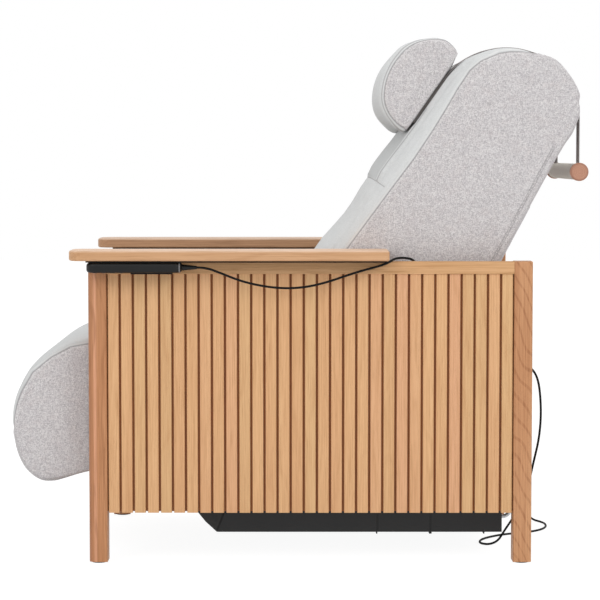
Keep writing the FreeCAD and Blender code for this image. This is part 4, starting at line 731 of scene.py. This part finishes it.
def seat_shape(places, depth, faces, half):
    none = np.zeros(len(places))
    return none, none + NO_LINE, none, none


seat = upholster("seat_cushion", "seat_pad", "chair_frame", 0.006, seat_seam, seat_shape)

# The back is one tall foam block round its frame, rounded over the top, its pale cover sewn to two tweed
# sides. A cross seam parts the fuller lower face from a pressed-in centre panel where the pillow lies;
# painted shade darkens the panel's pale cloth, less towards its top.
# Heights on it run up its lean from the pivot; a list of pairs gives how full the back is at each height.
BACK_PIVOT = (0.0, 0.4)
BACK_LEAN = math.radians(55.2)
BACK_FACE = 0.077
BACK_SEAM = (
    (-0.0969, 0.3), (0.64, 0.3), (0.64, 1.03), (0.5, 1.03), (0.475, 0.9915), (0.4549, 0.991),
    (0.4316, 0.9935), (0.4082, 0.9935), (0.3872, 0.991), (0.3519, 0.9757), (0.33, 0.9575),
    (0.3069, 0.9225), (0.2845, 0.8835), (0.259, 0.8415), (0.2235, 0.788), (0.1683, 0.7144),
    (0.0876, 0.6051), (-0.0969, 0.3366),
)
BACK_CROSS_SEAM = 0.366
BACK_LOWER = (
    (0.15, 0.0056), (0.205, 0.0056), (0.25, 0), (0.276, -0.0028), (0.305, -0.0028), (0.34, 0), (0.366, 0),
)
CROSS_SEAM_ROOM = 0.002
FACE_DEPTHS = (0.03, 0.012)
PANEL_HALF = 0.205
PANEL_EDGE = (-0.002, 0.006)
PANEL_FADES = (0.52, 0.6)
PANEL_CREASE = 0.2155
PANEL_CREASE_SLOPE = 0.42
PANEL_SHADE_EDGE = 0.003
PANEL_SHADE_FROM = 0.006
PANEL_SHADE_SHARES = (0.65, 0.35)
STITCH_SHARES = (0.6, 0.55)
BORDER_FADE = 0.02
SIDE_ROOM = 0.012
PANEL_BORDER = ((0.366, 0.004), (0.385, 0.009), (0.41, 0.009), (0.463, 0.0055), (0.6, 0.002), (0.72, 0))
PANEL_CROWN = (
    (0.366, 0.002), (0.375, 0.005), (0.388, 0.0078), (0.402, 0.0083), (0.43, 0.0072), (0.455, 0.0048),
    (0.474, 0.004), (0.49, 0.002), (0.505, -0.001), (0.6, -0.002), (0.66, 0),
)
REAR_SWELL = 0.0045
REAR_FACES = (0.5, 0.8)
REAR_FADES = (0.69, 0.715)
REAR_STITCH = 0.02
REAR_STITCH_TWIN = 0.0045
REAR_STITCH_TOP = 0.62
REAR_STITCH_SLOPE = 1.3
CHEEK_SWELL = ((0.5, 0), (0.6, 0.001), (0.635, 0.0025), (0.658, 0.0058), (0.674, 0.0045), (0.7, 0))
CHEEK_FROM = (0.219, 0.23)
ROLLER_ROOM = (0.653, 0.014)
SHOULDER_SWELL = 0.0075
SHOULDER_FACES = ((0.3, 0.65), (0.1, 0.55))
EDGE_FROM = (0.213, 0.221)
EDGE_SHOULDER = 0.004
EDGE_BROW = (0.002, 0.0025)
EDGE_BROW_FACES = ((0.6, 0.8), (0.2, 0.5))
EDGE_HEEL = 0.0045
EDGE_HEEL_FACES = ((0.85, 0.97), (-0.55, -0.1))
STRAP_FOOT = 0.5
STRAP_BED = ((0.143, 0.155), (0.213, 0.222))
STRAP_SUNK = 0.003
STRAP_RISE = 0.004


def at_height(up, pairs):
    return np.interp(up, *zip(*pairs))


def nearer(first, second):
    return np.where(np.abs(first) < np.abs(second), first, second)


def up_and_off(places):
    """How far up the back's lean each place lies, and how far off the line through the pivot."""
    x = places[:, 0] - BACK_PIVOT[0]
    z = places[:, 2] - BACK_PIVOT[1]
    up = x * math.cos(BACK_LEAN) + z * math.sin(BACK_LEAN)
    off = z * math.cos(BACK_LEAN) - x * math.sin(BACK_LEAN)
    return up, off


def back_seam(places, depth, faces, half):
    return inset_from(np.array(BACK_SEAM), places[:, (0, 2)])[0]


def shoulder_share(faces_back, faces_up):
    """How far a place belongs to the fuller rear shoulder, from the way it faces."""
    return rise(faces_back, *SHOULDER_FACES[0]) * rise(faces_up, *SHOULDER_FACES[1])


def full_face(up, across, half):
    """The face: its lower part, then the crowned centre panel with a border on both sides."""
    crown = np.sqrt(np.clip(1 - (across / PANEL_HALF) ** 2, 0, 1)) * at_height(up, PANEL_CROWN)
    border = rise(across, PANEL_HALF + PANEL_EDGE[0], PANEL_HALF + PANEL_EDGE[1])
    border = border * (1 - rise(across, half - BORDER_FADE, half)) * at_height(up, PANEL_BORDER)
    return np.where(up < BACK_CROSS_SEAM, at_height(up, BACK_LOWER), crown + border)


def full_rear(up, across, faces_back, faces_up):
    """The rear and shoulder: fuller along both sides, with room where the roller comes up in the middle.

    A pair named FACES says at what facing a swell starts, and at what facing it is full.
    """
    cheek = rise(across, *CHEEK_FROM)
    room = hill(up, *ROLLER_ROOM) * (1 - cheek)
    rear = rise(faces_back, *REAR_FACES) * (1 - rise(up, *REAR_FADES))
    rear = rear * (REAR_SWELL * (1 - room) + cheek * at_height(up, CHEEK_SWELL))
    shoulder = shoulder_share(faces_back, faces_up)
    brow = EDGE_BROW[0] + EDGE_BROW[1] * rise(-faces_back, *EDGE_BROW_FACES[1])
    brow = brow * rise(faces_up, *EDGE_BROW_FACES[0])
    heel = rise(faces_back, *EDGE_HEEL_FACES[0]) * rise(faces_up, *EDGE_HEEL_FACES[1]) * EDGE_HEEL
    edge = rise(across, *EDGE_FROM) * (up > STRAP_FOOT)
    return shoulder * SHOULDER_SWELL + rear + edge * (shoulder * EDGE_SHOULDER + brow + heel)


def back_stitches(up, across, depth, faces_back, on_face, half):
    """Distance to the nearest stitched line: the cross seam and panel's edges, or the pair down the rear."""
    cross = np.where(across < half - CROSS_SEAM_ROOM, up - BACK_CROSS_SEAM, NO_LINE)
    crease = np.where(up > BACK_CROSS_SEAM, (across - PANEL_CREASE) * PANEL_CREASE_SLOPE, NO_LINE)
    on_rear = (faces_back > 0.5) & (up < REAR_STITCH_TOP)
    pair = nearer(depth - REAR_STITCH, depth - REAR_STITCH + REAR_STITCH_TWIN)
    return np.where(on_face, nearer(cross, crease), np.where(on_rear, pair, NO_LINE) * REAR_STITCH_SLOPE)


def back_shape(places, depth, faces, half):
    up, off = up_and_off(places)
    across = np.abs(places[:, 1])
    faces_back = faces[:, 0]
    faces_up = faces[:, 1]
    skin = depth < ROOM_DEPTH
    front = rise(off, BACK_FACE - FACE_DEPTHS[0], BACK_FACE - FACE_DEPTHS[1]) * (faces_back < -0.5)
    fuller = (front * full_face(up, across, half) + full_rear(up, across, faces_back, faces_up)) * skin
    bed = rise(across, *STRAP_BED[0]) * (1 - rise(across, *STRAP_BED[1]))
    bed = bed * skin * (up > STRAP_FOOT) * (faces_back < 0.995)
    sunk = depth - STRAP_SUNK + shoulder_share(faces_back, faces_up) * STRAP_RISE
    fuller = fuller * (1 - bed) + sunk * bed
    on_face = front > 0.3
    stitch = back_stitches(up, across, depth, faces_back, on_face, half)
    below_fade = 1 - rise(up, *PANEL_FADES)
    at_side = across > half - SIDE_ROOM
    shown = np.where(on_face, below_fade * STITCH_SHARES[0], at_side * STITCH_SHARES[1])
    # Painted shade on the centre panel's pale cloth, lighter towards its top.
    panel = rise(PANEL_HALF - across, -PANEL_SHADE_EDGE, PANEL_SHADE_EDGE)
    panel = panel * rise(up, BACK_CROSS_SEAM, BACK_CROSS_SEAM + PANEL_SHADE_FROM)
    above = (up > BACK_CROSS_SEAM) * (across < PANEL_HALF)
    shade = panel * below_fade * PANEL_SHADE_SHARES[0] + above * PANEL_SHADE_SHARES[1]
    return fuller, stitch, shown, shade * (faces_back < 0.9)


back = upholster("backrest_cushion", "back_pad", "backrest", 0.007, back_seam, back_shape)

# The calf rest is a deep rounded foam block on its own board and frame. It curls forward and down from the
# seat's front edge. Its upper face is pale, and one seam along its edges parts it from the tweed below.
CALF_SEAM = (
    (-0.28, 0.418), (-0.36, 0.424), (-0.415, 0.4242), (-0.4497, 0.4179), (-0.4873, 0.3979),
    (-0.5247, 0.3677), (-0.5472, 0.3274), (-0.556, 0.3021), (-0.5655, 0.255), (-0.6, 0.2),
    (-0.6, 0.0), (-0.1, 0.0), (-0.1, 0.4),
)
CALF_NOSE_SWELL = 0.005
CALF_NOSE_FACES = ((0.1, 0.6), (-0.1, 0.4))
CALF_LOW_SWELL = 0.0025
CALF_LOW_FACES = (0.5, 0.9)
CALF_FRONT_SWELL = 0.0025
CALF_FRONT_FACES = (0.6, 0.95)
# The calf rest's pale cloth is darkened all over by painted shade.
CALF_PAINTED_SHADE = 0.4


def calf_seam(places, depth, faces, half):
    return inset_from(np.array(CALF_SEAM), places[:, (0, 2)])[0]


def calf_shape(places, depth, faces, half):
    none = np.zeros(len(places))
    forward = -faces[:, 0]
    down = -faces[:, 1]
    roll = rise(down, *CALF_NOSE_FACES[0]) * rise(forward, *CALF_NOSE_FACES[1]) * CALF_NOSE_SWELL
    roll += rise(down, *CALF_LOW_FACES) * CALF_LOW_SWELL + rise(forward, *CALF_FRONT_FACES) * CALF_FRONT_SWELL
    return roll * (depth < ROOM_DEPTH), none + NO_LINE, none, none + CALF_PAINTED_SHADE


calf = upholster("legrest_cushion", "calf_pad", "legrest", 0.006, calf_seam, calf_shape)

# The head pillow is a D-shaped block that lies on the back's upper face: tweed ends and a pale
# smooth band round its front, with a second row of stitches inside the seam, held by two straps.
# Its roundness is given by the angle that each stretch faces, in degrees from the rear over the top.
PILLOW_SEAM = ((-0.9, 0.009), (0.0, 0.0045), (0.6, 0.003))
PILLOW_TWIN = 0.0042
PILLOW_ROUND = (
    (40, 0), (70, 0.0015), (85, 0), (97, -0.0016), (115, 0), (135, 0.004), (155, 0.0035),
    (180, 0.0025), (215, 0.0025), (250, 0),
)
PILLOW_NO_SEAM = 0.8
PILLOW_FOOT = 0.007
PILLOW_FOOT_SPOT = (0.088, 0.022)
PILLOW_FOOT_FACES = (0.1, 0.8)
PILLOW_FOOT_FROM = (0.12, 0.18)
PILLOW_REAR = 0.0035
PILLOW_REAR_FACES = (0.5, 0.85)
PILLOW_REAR_FROM = (0.15, 0.19)
PILLOW_REAR_FADES = (0.635, 0.66)


def faces_off_rear(faces):
    """1 where a place faces the back that the pillow lies on, and 0 square to it."""
    return faces[:, 0] * math.sin(BACK_LEAN) - faces[:, 1] * math.cos(BACK_LEAN)


def pillow_seam(places, depth, faces, half):
    far = at_height(faces[:, 0], PILLOW_SEAM)
    return end_seam(np.where(faces_off_rear(faces) > PILLOW_NO_SEAM, -1, far), places, depth, half)


def pillow_shape(places, depth, faces, half):
    up, off = up_and_off(places)
    across = np.abs(places[:, 1])
    turn = np.degrees(np.arctan2(faces[:, 1], faces[:, 0])) % 360
    faces_down = -(faces[:, 0] * math.cos(BACK_LEAN) + faces[:, 1] * math.sin(BACK_LEAN))
    foot = rise(faces_down, *PILLOW_FOOT_FACES) * hill(off, *PILLOW_FOOT_SPOT)
    foot = foot * rise(across, *PILLOW_FOOT_FROM)
    rear = rise(faces_off_rear(faces), *PILLOW_REAR_FACES) * rise(across, *PILLOW_REAR_FROM)
    rear = rear * (1 - rise(up, *PILLOW_REAR_FADES))
    fuller = at_height(turn, PILLOW_ROUND) + foot * PILLOW_FOOT + rear * PILLOW_REAR
    twin = pillow_seam(places, depth, faces, half) + PILLOW_TWIN
    return fuller, twin, (across > half * END_SHARE) * 1.0, np.zeros(len(places))


pillow = upholster("headrest_pillow", "head_pillow", "headrest", 0.005, pillow_seam,
                   pillow_shape)

# Two webbing straps run from behind the pillow over the back's top and hang behind it, sewn to the cloth
# sleeve of a wooden roller that weighs them down. The back's top and shoulder are two round stretches, each
# given by its middle and radius.
BACK_TOP = (0.405, 0.8568, 0.1487)
BACK_SHOULDER = (0.4858, 0.8862, 0.06265)
STRAP_START = 0.502
STRAP_HALF = 0.02
STRAP_MIDDLE = 0.185
STRAP_THICK = 0.0016
STRAP_OFF = (-0.0022, 0.001)
STRAP_SINKS = (104, 128)
STRAP_END = 0.7762
WEAVE = 0.0011
WEBBING_EDGE = (0.004, 0.0015)
SMOOTH_BELOW = 40
ROLLER_AXIS = (0.54945, 0.76)


def rolled_out(name, counts, shape, lines, thick):
    """A thin sheet: a flat grid laid along the shape, mapped in metres and given its thickness."""
    bpy.ops.mesh.primitive_grid_add(x_subdivisions=counts[0], y_subdivisions=counts[1], size=1)
    piece = bpy.context.object
    piece.name = name
    flat = places_of(piece)
    run = flat[:, 0] + 0.5
    over = flat[:, 1] + 0.5
    set_places(piece, np.stack(shape(run, over), axis=1))
    corner = np.empty(len(piece.data.loops), np.int32)
    piece.data.loops.foreach_get("vertex_index", corner)
    cloth = piece.data.uv_layers.new(name="cloth")
    mapped = np.stack((run[corner] * lines[0], over[corner] * lines[1]), axis=1)
    cloth.data.foreach_set("uv", mapped.astype(np.float32).ravel())
    walls = piece.modifiers.new("thickness", "SOLIDIFY")
    walls.thickness = thick
    walls.offset = 0
    apply_all(piece)
    pick(piece)
    bpy.ops.object.shade_smooth_by_angle(angle=math.radians(SMOOTH_BELOW))
    return piece


def bent_round(stretch, turn, off):
    """A place at this angle on a round stretch of the back, this far off its surface."""
    x, z, radius = stretch
    reach = radius + off + STRAP_RISE * shoulder_share(math.cos(turn), math.sin(turn))
    return x + reach * math.cos(turn), z + reach * math.sin(turn)


def over_the_back():
    """The line of a strap from behind the pillow, over the top and shoulder, to where it hangs free."""
    start_x = BACK_PIVOT[0] + STRAP_START * math.cos(BACK_LEAN) - BACK_FACE * math.sin(BACK_LEAN)
    start_z = BACK_PIVOT[1] + STRAP_START * math.sin(BACK_LEAN) + BACK_FACE * math.cos(BACK_LEAN)
    line = [(start_x, start_z)]
    meet = math.atan2(BACK_SHOULDER[1] - BACK_TOP[1], BACK_SHOULDER[0] - BACK_TOP[0])
    for turn in np.linspace(BACK_LEAN + math.pi / 2, meet, 40):
        off = np.interp(math.degrees(turn), STRAP_SINKS, (STRAP_OFF[0], 0))
        line.append(bent_round(BACK_TOP, turn, off))
    for turn, off in zip(np.linspace(meet, 0, 20), np.linspace(*STRAP_OFF, 20)):
        line.append(bent_round(BACK_SHOULDER, turn, off))
    return np.array(line)


webbing, here = finish("strap_webbing", Roughness=0.8)
u, v, _ = here.node("ShaderNodeUVMap", {"uv_map": "cloth"}, {}).axes()
over = (u * math.pi / WEAVE).wave() * (v * math.pi / WEAVE).wave()
edge = (v - STRAP_HALF).size().held(STRAP_HALF - WEBBING_EDGE[0], STRAP_HALF - WEBBING_EDGE[1])
colour = over.held(-0.6, 0.8).tint(tone("827A78"), tone("AAA29F"))
colour = (edge * 0.3).tint(colour, tone("5E5856"))
lay_on(webbing, colour, 0.82, over.size() + edge * 0.5, 0.0003)


def strap(name, side, path, body):
    """One flat ribbon along a line, on one side of the back."""
    length = np.concatenate(([0], np.cumsum(np.linalg.norm(np.diff(path, axis=0), axis=1))))

    def shape(run, over):
        x = np.interp(run * length[-1], length, path[:, 0])
        z = np.interp(run * length[-1], length, path[:, 1])
        return x, side * STRAP_MIDDLE + (over * 2 - 1) * STRAP_HALF, z

    counts = (max(len(path) * 2, 24), 4)
    piece = rolled_out(name, counts, shape, (length[-1], STRAP_HALF * 2), STRAP_THICK)
    piece.data.materials.append(webbing)
    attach(piece, body)
    return piece


over_top = over_the_back()
free_end = np.array([(ROLLER_AXIS[0], over_top[-1][1]), (ROLLER_AXIS[0], STRAP_END)])
for side, word in ((-1, "left"), (1, "right")):
    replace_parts(strap("top_strap_" + word, side, over_top, "backrest"), "headrest_straps")
    hanging = strap("free_strap_" + word, side, free_end, "strap_drop")
    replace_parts(hanging, "hanging_straps")
    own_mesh(hanging)

# The roller is a turned beech rod with a disc at each end, with a dark ring of painted shade round the rim.
# Its sleeve is a tube of pale canvas, hemmed at both ends and slightly puckered, that the straps are sewn to.
ROLLER_CORE = 0.014
ROLLER_SHADE_RING = 0.0158
SLEEVE_THICK = 0.0019
SLEEVE_HALF = 0.2048
SLEEVE_PUCKER = 0.0003
SLEEVE_FOLDS = (97, 3, 9)
SLEEVE_LOOSE = 0.0001
SLEEVE_HEM = (0.011, 0.009)
beech, here = finish("roller_wood", Roughness=0.45)
x, y, z = here.axes()
out_x = x - ROLLER_AXIS[0]
out_z = z - ROLLER_AXIS[1]
ring = (out_x * out_x + out_z * out_z).sum("SQRT")
fibre = here.place(x * 300, y * 12, z * 300).cloud(1, 3)
year = (ring * 1800 + fibre * 5).wave().held(0.2, 1)
colour = (year * 0.4 + fibre * 0.5).tint(tone("C09078"), tone("9C6850"))
# Painted shade: a dark ring round the roller's rim.
rim_shade = 1 - (ring - ROLLER_SHADE_RING).size().held(0.0002, 0.0011)
colour = (rim_shade * 0.6).tint(colour, tone("6E4232"))
lay_on(beech, colour, 0.4 + fibre * 0.15, fibre, 0.0002)
dress(beech, "counterweight_roller")


def round_roller(run, over):
    turn = run * 2 * math.pi
    along, around, twist = SLEEVE_FOLDS
    pucker = SLEEVE_PUCKER * np.sin(over * along) * np.sin(turn * around + over * twist)
    radius = ROLLER_CORE + SLEEVE_THICK / 2 + SLEEVE_LOOSE + pucker
    y = (over * 2 - 1) * SLEEVE_HALF
    return ROLLER_AXIS[0] + radius * np.sin(turn), y, ROLLER_AXIS[1] + radius * np.cos(turn)


sleeve = rolled_out("roller_sleeve_cloth", (48, 120), round_roller, (0.1, SLEEVE_HALF * 2), SLEEVE_THICK)
canvas, here = finish("roller_canvas", Roughness=0.9)
u, v, _ = here.node("ShaderNodeUVMap", {"uv_map": "cloth"}, {}).axes()
over = (u * math.pi / WEAVE).wave() * (v * math.pi / WEAVE).wave()
hem = (v - SLEEVE_HALF).size().held(SLEEVE_HALF - SLEEVE_HEM[0], SLEEVE_HALF - SLEEVE_HEM[1])
lay_on(canvas, over.held(-0.8, 0.8).tint(tone("D8D2C8"), tone("F2ECE2")), 0.88, over + hem * 2, 0.0003)
sleeve.data.materials.append(canvas)
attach(sleeve, "roller")
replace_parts(sleeve, "roller_sleeve")

# The handset is a flat moulded case held under the arm by a wire; its four soft keys face down.
# A thin pale ring marks the joint of its rear end, where the cord's relief starts.
HANDSET_RING = -0.2305
HANDSET_RING_HALF = 0.0016
case, here = finish("handset_plastic", Roughness=0.4, Specular_IOR_Level=0.3)
x, y, z = here.axes()
pimple = here.cloud(1600, 2)
colour = here.cloud(40, 2).tint(tone("080909"), tone("0E0F10"))
ring = 1 - (x - HANDSET_RING).size().held(HANDSET_RING_HALF * 0.5, HANDSET_RING_HALF)
lay_on(case, (ring * 0.5).tint(colour, tone("A6A8AC")), 0.36 + pimple * 0.2, pimple, 0.00006)
dress(case, "handset_case", "handset_relief")
keys = coated("key_rubber", ("505356", "606468"), None, (700, 2), (0.55, 0.2), Roughness=0.6)
dress(keys, "key_legs_up", "key_legs_down", "key_back_up", "key_back_down")
